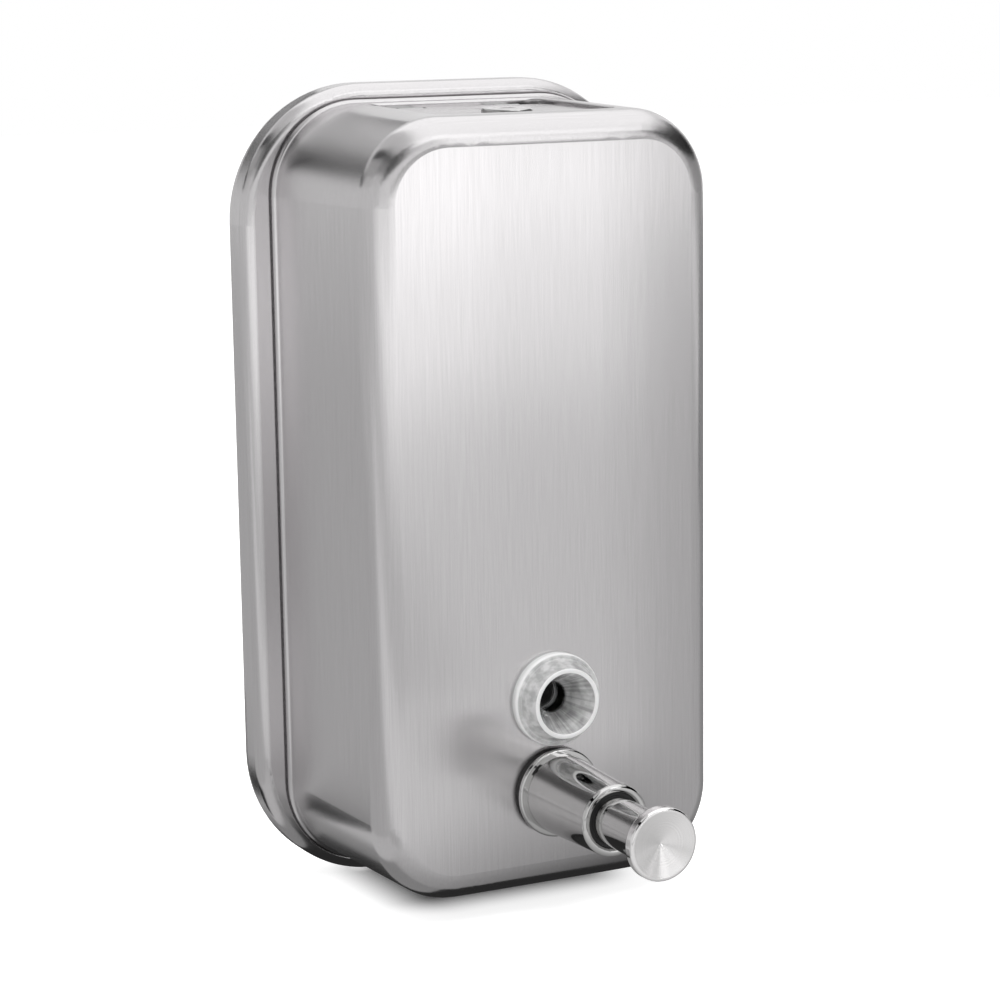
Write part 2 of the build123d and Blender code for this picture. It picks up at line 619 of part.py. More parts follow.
def inlet_cap():
    """Screwed cap that closes the barrel and holds the inlet ball's seat."""
    wall = BARREL_R + THREAD_PLAY
    lip = BARREL_END + CAP_LAP
    return turned(
        [(CAP_END, PORT_R), (CAP_END, CAP_R), (lip, CAP_R), (lip, wall), (BARREL_END, wall),
         (BARREL_END, CHAMBER_R), (INLET_PORT, CHAMBER_R), (INLET_PORT, PORT_R)], PUMP_Z
    )


def ball_cage():
    """Ported disc across the barrel's end."""
    cage = tube(0, BARREL_BORE_R - PISTON_PLAY, BARREL_END, CAGE_D, PUMP_Z)
    ring_r = CHAMBER_R - CAGE_PORT_R / 2
    for place in range(CAGE_PORTS):
        turn = math.radians(90 + 360 * place / CAGE_PORTS)
        at = Pos(ring_r * math.cos(turn), -CAGE_D, PUMP_Z + ring_r * math.sin(turn))
        cage -= at * Rot(90, 0, 0) * Cylinder(CAGE_PORT_R, 4 * CAGE_T)
    return cage


def spring_reach(turn):
    """How far the wire has climbed after a number of turns; the first and last turns are closed."""
    dead = 2 * SPRING_WIRE_R + SPRING_DEAD_GAP
    length = PISTON_REAR - CAGE_D - 2 * (SPRING_WIRE_R + SPRING_PLAY)
    live = (length - 2 * dead) / (SPRING_TURNS - 2)
    last = SPRING_TURNS - 1
    return dead * (min(turn, 1) + max(turn - last, 0)) + live * min(max(turn - 1, 0), last - 1)


def spring_point(turn):
    """A point of the spring's line and its direction, after a number of turns."""
    angle = 2 * math.pi * turn
    near = CAGE_D + SPRING_WIRE_R + SPRING_PLAY
    climb = (spring_reach(turn + 0.1) - spring_reach(turn - 0.1)) / (0.4 * math.pi)
    point = Vector(SPRING_R * math.cos(angle), -near - spring_reach(turn), SPRING_R * math.sin(angle))
    along = Vector(-SPRING_R * math.sin(angle), -climb, SPRING_R * math.cos(angle))
    return point, along.normalized()


def biarc(start, start_along, end, end_along):
    """Two arcs that leave one point and reach another in the given directions."""
    chord = end - start
    both = start_along + end_along
    bend = 2 * (1 - start_along.dot(end_along))
    pull = chord.dot(both)
    reach = (math.sqrt(pull**2 + bend * chord.dot(chord)) - pull) / bend
    join = (start + end + (start_along - end_along) * reach) / 2
    first = TangentArc([start, join], tangent=start_along)
    return [first, TangentArc([join, end], tangent=first % 1)]


def least_gap(path, samples=160):
    """Smallest distance between one turn's wire and the next, on points along the path."""
    points = [path @ (place / samples) for place in range(samples + 1)]
    half_turn = samples // (2 * SPRING_TURNS)
    apart = [
        (points[b] - points[a]).length for a in range(samples + 1) for b in range(a + half_turn, samples + 1)
    ]
    return min(apart) - 2 * SPRING_WIRE_R


def return_spring():
    """Compression spring between the cage and the piston, as one wire."""
    arcs = []
    for quarter in range(4 * SPRING_TURNS):
        arcs += biarc(*spring_point(quarter / 4), *spring_point((quarter + 1) / 4))
    path = Wire(arcs)
    section = Plane(origin=path @ 0, z_dir=path % 0) * Circle(SPRING_WIRE_R)
    print(f"return spring: {SPRING_TURNS} turns, least gap {least_gap(path):.2f} mm")
    return Pos(0, 0, PUMP_Z) * sweep(section, path)


PIECES = {
    "wall_plate": wall_plate,
    "hanger_strap": hanger_strap,
    "back_shell": back_shell,
    "front_shell": front_shell,
    "hinge_leaf": hinge_leaf,
    "hinge_pin": hinge_pin,
    "filler_lid": filler_lid,
    "lid_seal": lid_seal,
    "lock_body": lock_body,
    "lock_nut": lock_nut,
    "lock_plug": lock_plug,
    "lock_cam": lock_cam,
    "cam_screw": cam_screw,
    "sight_boss": lambda: boss(SIGHT_SHANK_R, SIGHT_Z),
    "sight_gasket": lambda: tube(
        SIGHT_SHANK_R + THREAD_PLAY, SIGHT_FLANGE_R - THREAD_PLAY, TANK_D, SIGHT_SEAT, SIGHT_Z
    ),
    "sight_glass": sight_glass,
    "pump_boss": lambda: boss(TAIL_R, PUMP_Z),
    "pump_gasket": pump_gasket,
    "pump_cone": pump_cone,
    "guide_bush": guide_bush,
    "rod_seal": rod_seal,
    "push_button": push_button,
    "plunger_rod": plunger_rod,
    "piston": piston,
    "piston_seal": piston_seal,
    "outlet_ball": lambda: ball(OUTLET_BALL_D),
    "return_spring": return_spring,
    "pump_barrel": pump_barrel,
    "inlet_cap": inlet_cap,
    "ball_cage": ball_cage,
    "inlet_ball": lambda: ball(INLET_BALL_D),
}

ON_DECK = ("hinge_leaf", "hinge_pin", "filler_lid", "lid_seal",
           "lock_body", "lock_nut", "lock_plug", "lock_cam", "cam_screw")

os.makedirs("parts", exist_ok=True)
for name, make in PIECES.items():
    piece = deck() * make() if name in ON_DECK else make()
    export_step(piece, os.path.join("parts", f"{name}.step"))
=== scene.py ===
# %% [markdown]
# # A wall mounted soap dispenser
# The real thing is a one-litre tank pressed from stainless sheet: a shallow back shell, a deeper front
# shell with a locking filler lid in its top, a clear sight glass and a chromed push pump low on its face.
# The solids come from a imported CAD model, so this lesson is about finishes and light. Two pieces are made
# again here: the moulded sight glass, for its fine flutes, and the pump's return spring.

# %% Load the imported model
import json
import math

import bpy
from mathutils import Matrix, Vector


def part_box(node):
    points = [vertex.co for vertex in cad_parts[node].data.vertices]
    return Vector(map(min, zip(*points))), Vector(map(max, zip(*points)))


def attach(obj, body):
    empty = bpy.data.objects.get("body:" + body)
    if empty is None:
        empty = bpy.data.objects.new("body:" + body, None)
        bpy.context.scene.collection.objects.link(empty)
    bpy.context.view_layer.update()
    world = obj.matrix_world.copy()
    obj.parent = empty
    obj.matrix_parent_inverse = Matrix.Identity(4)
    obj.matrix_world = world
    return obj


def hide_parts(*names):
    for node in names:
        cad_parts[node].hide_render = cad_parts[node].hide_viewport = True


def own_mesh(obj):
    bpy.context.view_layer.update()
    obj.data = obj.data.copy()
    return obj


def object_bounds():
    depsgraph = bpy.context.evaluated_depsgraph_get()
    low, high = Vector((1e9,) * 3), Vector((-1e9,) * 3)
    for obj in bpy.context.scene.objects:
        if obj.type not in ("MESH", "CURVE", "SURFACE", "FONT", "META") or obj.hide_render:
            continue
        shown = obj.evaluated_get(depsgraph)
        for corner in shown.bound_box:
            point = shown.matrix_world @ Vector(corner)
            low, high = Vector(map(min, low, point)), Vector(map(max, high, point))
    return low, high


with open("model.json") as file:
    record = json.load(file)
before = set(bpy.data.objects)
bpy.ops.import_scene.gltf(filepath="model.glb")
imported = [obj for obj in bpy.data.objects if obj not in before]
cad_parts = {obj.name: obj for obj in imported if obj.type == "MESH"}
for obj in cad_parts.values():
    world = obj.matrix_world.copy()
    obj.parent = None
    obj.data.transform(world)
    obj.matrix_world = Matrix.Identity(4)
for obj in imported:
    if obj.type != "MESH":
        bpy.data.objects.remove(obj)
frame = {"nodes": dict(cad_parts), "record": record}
nodes = frame["nodes"]
cad_low, cad_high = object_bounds()
print("CAD box, mm:", [round(1000 * value, 1) for value in (*cad_low, *cad_high)])

# %% [markdown]
# ## Small helpers
# Sizes of the object are in millimetres and turn into metres with MM. Colours are written as sRGB hex, the
# way a paint chart gives them, and one function turns them into the linear numbers that a shader wants.
# Another adds a shader or geometry node with its settings and links, and every node below is made with it.

# %% Helpers
MM = 0.001


def linear(hex_colour):
    """The linear colour, with alpha, of an sRGB hex value."""
    shares = [int(hex_colour[place:place + 2], 16) / 255 for place in (0, 2, 4)]
    return [c / 12.92 if c <= 0.04045 else ((c + 0.055) / 1.055) ** 2.4 for c in shares] + [1.0]


def add(tree, kind, inputs=None, **settings):
    """Add a node; inputs maps a socket's name or place to a value or to another node's output."""
    node = tree.nodes.new(kind)
    for name, value in settings.items():
        setattr(node, name, value)
    for socket, value in (inputs or {}).items():
        if isinstance(value, bpy.types.NodeSocket):
            tree.links.new(value, node.inputs[socket])
        else:
            node.inputs[socket].default_value = value
    return node


def empty_material(name):
    """A new material and its node tree, which has no nodes yet."""
    material = bpy.data.materials.new(name)
    material.use_nodes = True
    material.node_tree.nodes.clear()
    return material, material.node_tree


print("the grey 808080 is", round(linear("808080")[0], 3), "in linear light")

# %% [markdown]
# ## Brushed stainless
# The shells are drawn from bright sheet and then brushed upwards with a belt. The belt leaves hair lines
# under a tenth of a millimetre wide and a centimetre or two long. They scatter light sideways much more
# than up and down, so a lamp's reflection is drawn out across the panel and stays crisp along it. Grooves
# that fine can't be modelled, so an anisotropic shader scatters the light, with its tangent running level
# round the tank, and a noise stretched along the brushing draws the lines that the eye picks out. The top
# and the lid are brushed from side to side.

# %% Brushed stainless
HAIR_WIDTH = 0.25  # real hair lines are about a third as wide, drawn coarser here so that they show
HAIR_LENGTH = 16.0
HAIR_DEPTH = 0.05
BAND_WIDTH = 2.2  # broader bands where the belt bore harder
BAND_LENGTH = 240.0
BAND_SHARE = 0.1
SIDE_FACE = 0.6  # the upward part of a normal: below this a face is brushed upwards
TOP_FACE = 0.8  # and above this from side to side


def hair_lines(tree, place, width, length, along):
    """Noise drawn out along one axis; width and length are in millimetres."""
    scale = [1 / (width * MM)] * 3
    scale["XYZ".index(along)] = 1 / (length * MM)
    stretched = add(tree, "ShaderNodeMapping", {"Vector": place, "Scale": scale})
    noise = add(tree, "ShaderNodeTexNoise",
                {"Vector": stretched.outputs["Vector"], "Scale": 1.0, "Detail": 3.0, "Roughness": 0.6})
    return noise.outputs["Fac"]


def brushing(tree, place, topness, width, length):
    """Lines that run upwards on the sides of the tank and from side to side on its top."""
    side_lines = hair_lines(tree, place, width, length, "Z")
    top_lines = hair_lines(tree, place, width, length, "X")
    mixed = add(tree, "ShaderNodeMix", {"Factor": topness, "A": side_lines, "B": top_lines})
    return mixed.outputs["Result"]


def brushed_stainless():
    """Bright steel with a silky sheen: reflections are drawn out sideways, under fine upright lines."""
    material, tree = empty_material("brushed_stainless")
    coordinates = add(tree, "ShaderNodeTexCoord").outputs
    normal = add(tree, "ShaderNodeSeparateXYZ", {"Vector": coordinates["Normal"]}).outputs
    upness = add(tree, "ShaderNodeMath", {0: normal["Z"]}, operation="ABSOLUTE").outputs[0]
    topness = add(tree, "ShaderNodeMapRange",
                  {"Value": upness, "From Min": SIDE_FACE, "From Max": TOP_FACE},
                  interpolation_type="SMOOTHSTEP").outputs["Result"]
    hairs = brushing(tree, coordinates["Object"], topness, HAIR_WIDTH, HAIR_LENGTH)
    bands = brushing(tree, coordinates["Object"], topness, BAND_WIDTH, BAND_LENGTH)
    marks = add(tree, "ShaderNodeMix", {"Factor": BAND_SHARE, "A": hairs, "B": bands}).outputs["Result"]
    tone = add(tree, "ShaderNodeMapRange", {"Value": marks, "From Min": 0.35, "From Max": 0.65})
    colour = add(tree, "ShaderNodeMix",
                 {"Factor": tone.outputs["Result"], "A": linear("D0CECF"), "B": linear("D6D4D5")},
                 data_type="RGBA")
    roughness = add(tree, "ShaderNodeMapRange",
                    {"Value": marks, "From Min": 0.3, "From Max": 0.7, "To Min": 0.228, "To Max": 0.212})
    bump = add(tree, "ShaderNodeBump", {"Height": hairs, "Strength": 0.02, "Distance": HAIR_DEPTH * MM})
    tangent = add(tree, "ShaderNodeTangent", direction_type="RADIAL", axis="Z")
    shader = add(tree, "ShaderNodeBsdfPrincipled", {
        "Base Color": colour.outputs["Result"], "Metallic": 1.0, "Roughness": roughness.outputs["Result"],
        "Anisotropic": 0.8, "Tangent": tangent.outputs["Tangent"], "Normal": bump.outputs["Normal"],
    })
    add(tree, "ShaderNodeOutputMaterial", {"Surface": shader.outputs["BSDF"]})
    return material


brushed = brushed_stainless()
print(brushed.name, "has", len(brushed.node_tree.nodes), "nodes")

# %% [markdown]
# ## Plain stainless
# Inner and hidden fittings are left as they come off the rolls, which is a dull even grey with a faint
# grain. One flat colour would look like paint, so a noise of the grain's size moves the colour, the
# roughness and the bump together.

# %% Plain stainless
GRAIN = 0.8  # mill-finish grain, coarser than real so that it shows
GRAIN_DEPTH = 0.03


def plain_stainless():
    """Rolled steel: soft, even reflections over a fine grey grain."""
    material, tree = empty_material("plain_stainless")
    place = add(tree, "ShaderNodeTexCoord").outputs["Object"]
    grain = add(tree, "ShaderNodeTexNoise",
                {"Vector": place, "Scale": 1 / (GRAIN * MM), "Detail": 4.0}).outputs["Fac"]
    colour = add(tree, "ShaderNodeMix", {"Factor": grain, "A": linear("B6B7B7"), "B": linear("CACBCA")},
                 data_type="RGBA")
    roughness = add(tree, "ShaderNodeMapRange", {"Value": grain, "To Min": 0.3, "To Max": 0.42})
    bump = add(tree, "ShaderNodeBump", {"Height": grain, "Strength": 0.1, "Distance": GRAIN_DEPTH * MM})
    shader = add(tree, "ShaderNodeBsdfPrincipled", {
        "Base Color": colour.outputs["Result"], "Metallic": 1.0, "Roughness": roughness.outputs["Result"],
        "Normal": bump.outputs["Normal"],
    })
    add(tree, "ShaderNodeOutputMaterial", {"Surface": shader.outputs["BSDF"]})
    return material


rolled = plain_stainless()
print(rolled.name, "has", len(rolled.node_tree.nodes), "nodes")

# %% [markdown]
# ## Chrome plate
# The pump's nose, its rod and the lock are polished on a wheel and chromed. Chrome is a little darker than
# silver and shows almost nothing of its own but the room. A perfect mirror looks false, so the wheel's slow
# waves change its roughness slightly from place to place.

# %% Chrome plate
POLISH_WAVE = 6.0  # from one of the wheel's waves to the next


def chrome_plate():
    """A clear, slightly dark mirror."""
    material, tree = empty_material("chrome_plate")
    place = add(tree, "ShaderNodeTexCoord").outputs["Object"]
    waves = add(tree, "ShaderNodeTexNoise",
                {"Vector": place, "Scale": 1 / (POLISH_WAVE * MM), "Detail": 3.0}).outputs["Fac"]
    colour = add(tree, "ShaderNodeMix", {"Factor": waves, "A": linear("C2C2C1"), "B": linear("CECDCD")},
                 data_type="RGBA")
    roughness = add(tree, "ShaderNodeMapRange", {"Value": waves, "To Min": 0.03, "To Max": 0.09})
    shader = add(tree, "ShaderNodeBsdfPrincipled", {
        "Base Color": colour.outputs["Result"], "Metallic": 1.0, "Roughness": roughness.outputs["Result"],
    })
    add(tree, "ShaderNodeOutputMaterial", {"Surface": shader.outputs["BSDF"]})
    return material


chromed = chrome_plate()
print(chromed.name, "has", len(chromed.node_tree.nodes), "nodes")

# %% [markdown]
# ## Turned chrome
# The button's face is turned on a lathe before it is plated. Its fine rings scatter light towards and away
# from the centre, so wedges of light stand on it whichever way it faces. The rings are a noise that only
# knows the distance from the axis, and the shader's tangent runs round that axis. The face is a shallow
# cone. The mesh has a single normal for the whole of its centre, which would show as a round spot, so there
# the finish works out the cone's own normal.

# %% Turned chrome
RING_PITCH = 0.35  # turning marks, coarser than real so that they show
RING_DEPTH = 0.04
RING_STRENGTH = 0.015
DISH_R = 8.2  # the hollow in the button's face
DISH_DEPTH = 1.9
DISH_CENTRE_R = 1.5  # inside this the normal is worked out
DISH_BLEND_R = 1.65  # outside this it is the mesh's own
FACE_STARTS = -0.9  # the forward part of a normal: from here on a surface counts as the turned face
FACE_WHOLLY = -0.97


def dish_normal(tree, flat, radius):
    """The mesh's normal, except near the button's axis, where it is the normal of the dished cone."""
    slope = math.atan2(DISH_DEPTH, DISH_R)
    outwards = add(tree, "ShaderNodeVectorMath", {0: flat}, operation="NORMALIZE").outputs["Vector"]
    cone = add(tree, "ShaderNodeVectorMath",
               {0: outwards, 1: [-math.sin(slope)] * 3, 2: (0, -math.cos(slope), 0)},
               operation="MULTIPLY_ADD").outputs["Vector"]
    cone_normal = add(tree, "ShaderNodeVectorTransform", {"Vector": cone},
                      vector_type="NORMAL", convert_from="OBJECT", convert_to="WORLD").outputs["Vector"]
    mesh_normal = add(tree, "ShaderNodeNewGeometry").outputs["Normal"]
    centre_share = add(tree, "ShaderNodeMapRange",
                       {"Value": radius, "From Min": DISH_BLEND_R * MM, "From Max": DISH_CENTRE_R * MM})
    mended = add(tree, "ShaderNodeMix",
                 {"Factor": centre_share.outputs["Result"], "A": mesh_normal, "B": cone_normal},
                 data_type="VECTOR")
    return mended.outputs["Result"]


def turned_chrome(node):
    """A bright face with wedges of light round its centre, and a plain mirror on the button's side."""
    material, tree = empty_material("turned_chrome")
    low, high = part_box(node)
    to_axis = [-(a + b) / 2 for a, b in zip(low, high)]
    coordinates = add(tree, "ShaderNodeTexCoord").outputs
    moved = add(tree, "ShaderNodeMapping", {"Vector": coordinates["Object"], "Location": to_axis})
    flat = add(tree, "ShaderNodeVectorMath", {0: moved.outputs["Vector"], 1: (1, 0, 1)},
               operation="MULTIPLY").outputs["Vector"]
    radius = add(tree, "ShaderNodeVectorMath", {0: flat}, operation="LENGTH").outputs["Value"]
    rings = add(tree, "ShaderNodeTexNoise",
                {"W": radius, "Scale": 1 / (RING_PITCH * MM), "Detail": 2.0},
                noise_dimensions="1D").outputs["Fac"]
    normal = add(tree, "ShaderNodeSeparateXYZ", {"Vector": coordinates["Normal"]}).outputs
    facing = add(tree, "ShaderNodeMapRange",
                 {"Value": normal["Y"], "From Min": FACE_STARTS, "From Max": FACE_WHOLLY}).outputs["Result"]
    colour = add(tree, "ShaderNodeMix", {"Factor": rings, "A": linear("E6E4E4"), "B": linear("F2F1F1")},
                 data_type="RGBA")
    roughness = add(tree, "ShaderNodeMapRange", {"Value": facing, "To Min": 0.08, "To Max": 0.25})
    strength = add(tree, "ShaderNodeMath", {0: facing, 1: RING_STRENGTH}, operation="MULTIPLY")
    bump = add(tree, "ShaderNodeBump",
               {"Height": rings, "Strength": strength.outputs[0], "Distance": RING_DEPTH * MM,
                "Normal": dish_normal(tree, flat, radius)})
    tangent = add(tree, "ShaderNodeTangent", direction_type="RADIAL", axis="Y")
    shader = add(tree, "ShaderNodeBsdfPrincipled", {
        "Base Color": colour.outputs["Result"], "Metallic": 1.0, "Roughness": roughness.outputs["Result"],
        "Anisotropic": 0.75, "Anisotropic Rotation": 0.25, "Tangent": tangent.outputs["Tangent"],
        "Normal": bump.outputs["Normal"],
    })
    add(tree, "ShaderNodeOutputMaterial", {"Surface": shader.outputs["BSDF"]})
    return material


turned_face = turned_chrome("push_button")
print(turned_face.name, "has", len(turned_face.node_tree.nodes), "nodes")

# %% [markdown]
# ## Clear acrylic
# The sight glass is moulded from acrylic. Its rim and the flange's edge look white: a painted highlight,
# made by letting little light through there so that the plastic turns diffuse white. Its wall is mottled
# where the plastic flowed in the mould, its cone has pale streaks down the slope, and the well at the back
# is clear but tinted dark grey, painted shade for the dark tank behind it. A single glass shader would be
# clear all over, so the share of light that passes through changes with the place on the plug: depth behind
# the front for the rim and the well, distance from the axis for the edge.

# %% Clear acrylic
SIGHT_MOUTH_R = 7.95  # the mouth of the sight glass's cone
FLOW_MARK = 2.5  # from one flow mark to the next
FLOW_DEPTH = 0.1
STREAK = 0.9  # from one streak to the next, at the cone's mouth
RIM_D = 0.25  # how deep the rim's painted highlight, its white, goes
HAZE_D = 8.2  # the plug is hazy as far back as this from its front
CLEAR_D = 9.4  # and clear from here on, tinted dark grey as painted shade
# low shares make the rim and the flange's edge diffuse white: a painted highlight
RIM_CLEAR = 0.1  # shares of the light that pass through
EDGE_CLEAR = 0.15
WALL_CLOUDIEST = 0.38
WALL_CLEAREST = 0.6


def cone_streaks(tree, flat, radius):
    """White at the mouth's edge, and inside it pale grey streaks that run towards the axis."""
    direction = add(tree, "ShaderNodeVectorMath", {0: flat}, operation="NORMALIZE")
    streaks = add(tree, "ShaderNodeTexNoise",
                  {"Vector": direction.outputs["Vector"], "Scale": SIGHT_MOUTH_R / STREAK, "Detail": 2.0})
    tone = add(tree, "ShaderNodeMapRange",
               {"Value": streaks.outputs["Fac"], "From Min": 0.38, "From Max": 0.6})
    streaked = add(tree, "ShaderNodeMix",
                   {"Factor": tone.outputs["Result"], "A": linear("D2D2D2"), "B": linear("FCFCFC")},
                   data_type="RGBA")
    inside = add(tree, "ShaderNodeMapRange",
                 {"Value": radius, "From Min": SIGHT_MOUTH_R * MM, "From Max": (SIGHT_MOUTH_R - RIM_D) * MM})
    colour = add(tree, "ShaderNodeMix",
                 {"Factor": inside.outputs["Result"], "A": linear("FCFCFC"),
                  "B": streaked.outputs["Result"]},
                 data_type="RGBA")
    return colour.outputs["Result"]


def front_clearness(tree, depth, radius, flow, outer_r):
    """How much light passes through ahead of the well: little at the rim and edge, whose white is a painted
    highlight, more in the wall.
    """
    wall = add(tree, "ShaderNodeMapRange",
               {"Value": flow, "From Min": 0.38, "From Max": 0.62,
                "To Min": WALL_CLOUDIEST, "To Max": WALL_CLEAREST})
    edge = add(tree, "ShaderNodeMapRange",
               {"Value": radius, "From Min": outer_r - 2 * RIM_D * MM, "From Max": outer_r - RIM_D * MM,
                "To Min": wall.outputs["Result"], "To Max": EDGE_CLEAR})
    rim = add(tree, "ShaderNodeMapRange",
              {"Value": depth, "From Min": RIM_D * MM / 2, "From Max": RIM_D * MM,
               "To Min": RIM_CLEAR, "To Max": edge.outputs["Result"]})
    return rim.outputs["Result"]


def clear_acrylic(node):
    """A white rim, which is a painted highlight, round a milky, streaked cone, with a clear well behind it
    that is tinted dark grey as painted shade.
    """
    material, tree = empty_material("clear_acrylic")
    low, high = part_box(node)
    to_front = (-(low[0] + high[0]) / 2, -low[1], -(low[2] + high[2]) / 2)
    place = add(tree, "ShaderNodeTexCoord").outputs["Object"]
    local = add(tree, "ShaderNodeMapping", {"Vector": place, "Location": to_front}).outputs["Vector"]
    depth = add(tree, "ShaderNodeSeparateXYZ", {"Vector": local}).outputs["Y"]
    flat = add(tree, "ShaderNodeVectorMath", {0: local, 1: (1, 0, 1)},
               operation="MULTIPLY").outputs["Vector"]
    radius = add(tree, "ShaderNodeVectorMath", {0: flat}, operation="LENGTH").outputs["Value"]
    flow = add(tree, "ShaderNodeTexNoise",
               {"Vector": place, "Scale": 1 / (FLOW_MARK * MM), "Detail": 2.0}).outputs["Fac"]
    roughness = add(tree, "ShaderNodeMapRange", {"Value": flow, "To Min": 0.02, "To Max": 0.08})
    bump = add(tree, "ShaderNodeBump", {"Height": flow, "Strength": 0.1, "Distance": FLOW_DEPTH * MM})
    back = add(tree, "ShaderNodeMapRange",
               {"Value": depth, "From Min": HAZE_D * MM, "From Max": CLEAR_D * MM}).outputs["Result"]
    clear = add(tree, "ShaderNodeMix",
                {"Factor": back, "A": front_clearness(tree, depth, radius, flow, high[0]), "B": 1.0})
    # the clear back of the plug is tinted dark grey 4A4A4A: painted shade for the deep well
    tint = add(tree, "ShaderNodeMix",
               {"Factor": back, "A": cone_streaks(tree, flat, radius), "B": linear("4A4A4A")},
               data_type="RGBA")
    shader = add(tree, "ShaderNodeBsdfPrincipled", {
        "Base Color": tint.outputs["Result"], "Roughness": roughness.outputs["Result"], "IOR": 1.49,
        "Transmission Weight": clear.outputs["Result"], "Normal": bump.outputs["Normal"],
    })
    add(tree, "ShaderNodeOutputMaterial", {"Surface": shader.outputs["BSDF"]})
    return material


acrylic = clear_acrylic("sight_glass")
print(acrylic.name, "has", len(acrylic.node_tree.nodes), "nodes")

# %% [markdown]
# ## Rubber and plastics
# The seals are matt black rubber with a faint bloom, and the ring under the sight glass is pale silicone.
# The bush in the pump's mouth is black acetal, a slippery plastic with a satin skin, and the pump's inside
# is white polypropylene, which looks a little waxy. All are moulded, so one recipe serves: two close
# colours, and a grain that changes colour, roughness and bump together.

# %% Rubber and plastics
BLOOM = 1.2  # patches of bloom on rubber
SKIN = 0.5  # grain of a moulded skin, coarser than real so that it shows
ROUGHNESS_SWING = 0.08


def moulded(name, dark, light, grain_size, rough, grain_depth):
    """Rubber or plastic out of a mould: dull, with a fine even skin."""
    material, tree = empty_material(name)
    place = add(tree, "ShaderNodeTexCoord").outputs["Object"]
    grain = add(tree, "ShaderNodeTexNoise",
                {"Vector": place, "Scale": 1 / (grain_size * MM), "Detail": 3.0}).outputs["Fac"]
    colour = add(tree, "ShaderNodeMix", {"Factor": grain, "A": linear(dark), "B": linear(light)},
                 data_type="RGBA")
    roughness = add(tree, "ShaderNodeMapRange",
                    {"Value": grain, "To Min": rough - ROUGHNESS_SWING, "To Max": rough + ROUGHNESS_SWING})
    bump = add(tree, "ShaderNodeBump", {"Height": grain, "Strength": 0.15, "Distance": grain_depth * MM})
    shader = add(tree, "ShaderNodeBsdfPrincipled", {
        "Base Color": colour.outputs["Result"], "Roughness": roughness.outputs["Result"],
        "Normal": bump.outputs["Normal"],
    })
    add(tree, "ShaderNodeOutputMaterial", {"Surface": shader.outputs["BSDF"]})
    return material


rubber = moulded("black_rubber", "2A2A2A", "383837", BLOOM, 0.62, 0.05)  # matt, greyed by its bloom
silicone = moulded("pale_silicone", "D2D4D3", "DEE0DF", BLOOM, 0.5, 0.03)  # pale and soft
acetal = moulded("black_acetal", "0E0E0F", "161617", SKIN, 0.4, 0.02)  # deep black with a satin gleam
polypropylene = moulded("white_polypropylene", "E2E2DD", "ECECE8", SKIN, 0.45, 0.02)  # waxy white
print("moulded finishes:", [made.name for made in (rubber, silicone, acetal, polypropylene)])

# %% [markdown]
# ## Dress the CAD pieces
# The solids already have the right shape, so each keeps its mesh and only gets the finish that its material
# slot names. The button's slot is chrome, and it gets the turned kind.

# %% Dress the CAD pieces
FINISHES = {
    "brushed_stainless": brushed,
    "plain_stainless": rolled,
    "chrome": chromed,
    "clear_acrylic": acrylic,
    "black_rubber": rubber,
    "pale_silicone": silicone,
    "black_acetal": acetal,
    "white_polypropylene": polypropylene,
}

for subpart in frame["record"]["subparts"]:
    finish = FINISHES[subpart["material_slot"]]
    if subpart["node"] == "push_button":
        finish = turned_face
    for holder in nodes[subpart["node"]].material_slots:
        holder.material = finish

# %% [markdown]
# ## Trees that make meshes
# Both remade pieces follow a rule, so Geometry Nodes make them. A tree has named inputs for its sizes, and a
# modifier runs it once. The result is kept as a plain mesh and the modifier goes, because a library part
# should carry shapes and not recipes.

# %% Trees that make meshes
def new_tree(name, inputs):
    """An empty geometry tree with named inputs; gives the tree and the sockets of its inputs."""
    tree = bpy.data.node_groups.new(name, "GeometryNodeTree")
    for label, kind in inputs.items():
        tree.interface.new_socket(label, in_out="INPUT", socket_type="NodeSocket" + kind)
    tree.interface.new_socket("Mesh", in_out="OUTPUT", socket_type="NodeSocketGeometry")
    return tree, add(tree, "NodeGroupInput").outputs


def end_tree(tree, mesh, material):
    """Close a tree the way each ends here: smooth faces, no instances, one material."""
    smooth = add(tree, "GeometryNodeSetShadeSmooth", {"Geometry": mesh})
    real = add(tree, "GeometryNodeRealizeInstances", {"Geometry": smooth.outputs["Geometry"]})
    painted = add(tree, "GeometryNodeSetMaterial",
                  {"Geometry": real.outputs["Geometry"], "Material": material})
    add(tree, "NodeGroupOutput", {"Mesh": painted.outputs["Geometry"]})


def grown(name, start_mesh, tree, settings):
    """Run a tree on a mesh and keep the result as a plain mesh object at the origin."""
    sockets = [item for item in tree.interface.items_tree if item.in_out == "INPUT"]
    identifiers = {socket.name: socket.identifier for socket in sockets}
    piece = bpy.data.objects.new(name, start_mesh)
    bpy.context.scene.collection.objects.link(piece)
    modifier = piece.modifiers.new("grown", "NODES")
    modifier.node_group = tree
    for label, value in settings.items():
        modifier[identifiers[label]] = value
    seen = piece.evaluated_get(bpy.context.evaluated_depsgraph_get())
    plain = bpy.data.meshes.new_from_object(seen)
    piece.modifiers.remove(modifier)
    piece.data = plain
    plain.name = name
    return piece


print("geometry trees before the first is built:", len(bpy.data.node_groups))

# %% [markdown]
# ## The sight glass's outline
# The sight glass is a clear plug screwed through the front wall, with a flange, a raised window and a hollow
# cone that ends in a well. It is round, so its shape is half a section: a line of points from the middle of
# its inner end, out over the flange and back down the cone. Its corners are rounded as a mould's are. A
# film of air is left round the plug, so that light comes back from the metal and the gasket behind it.

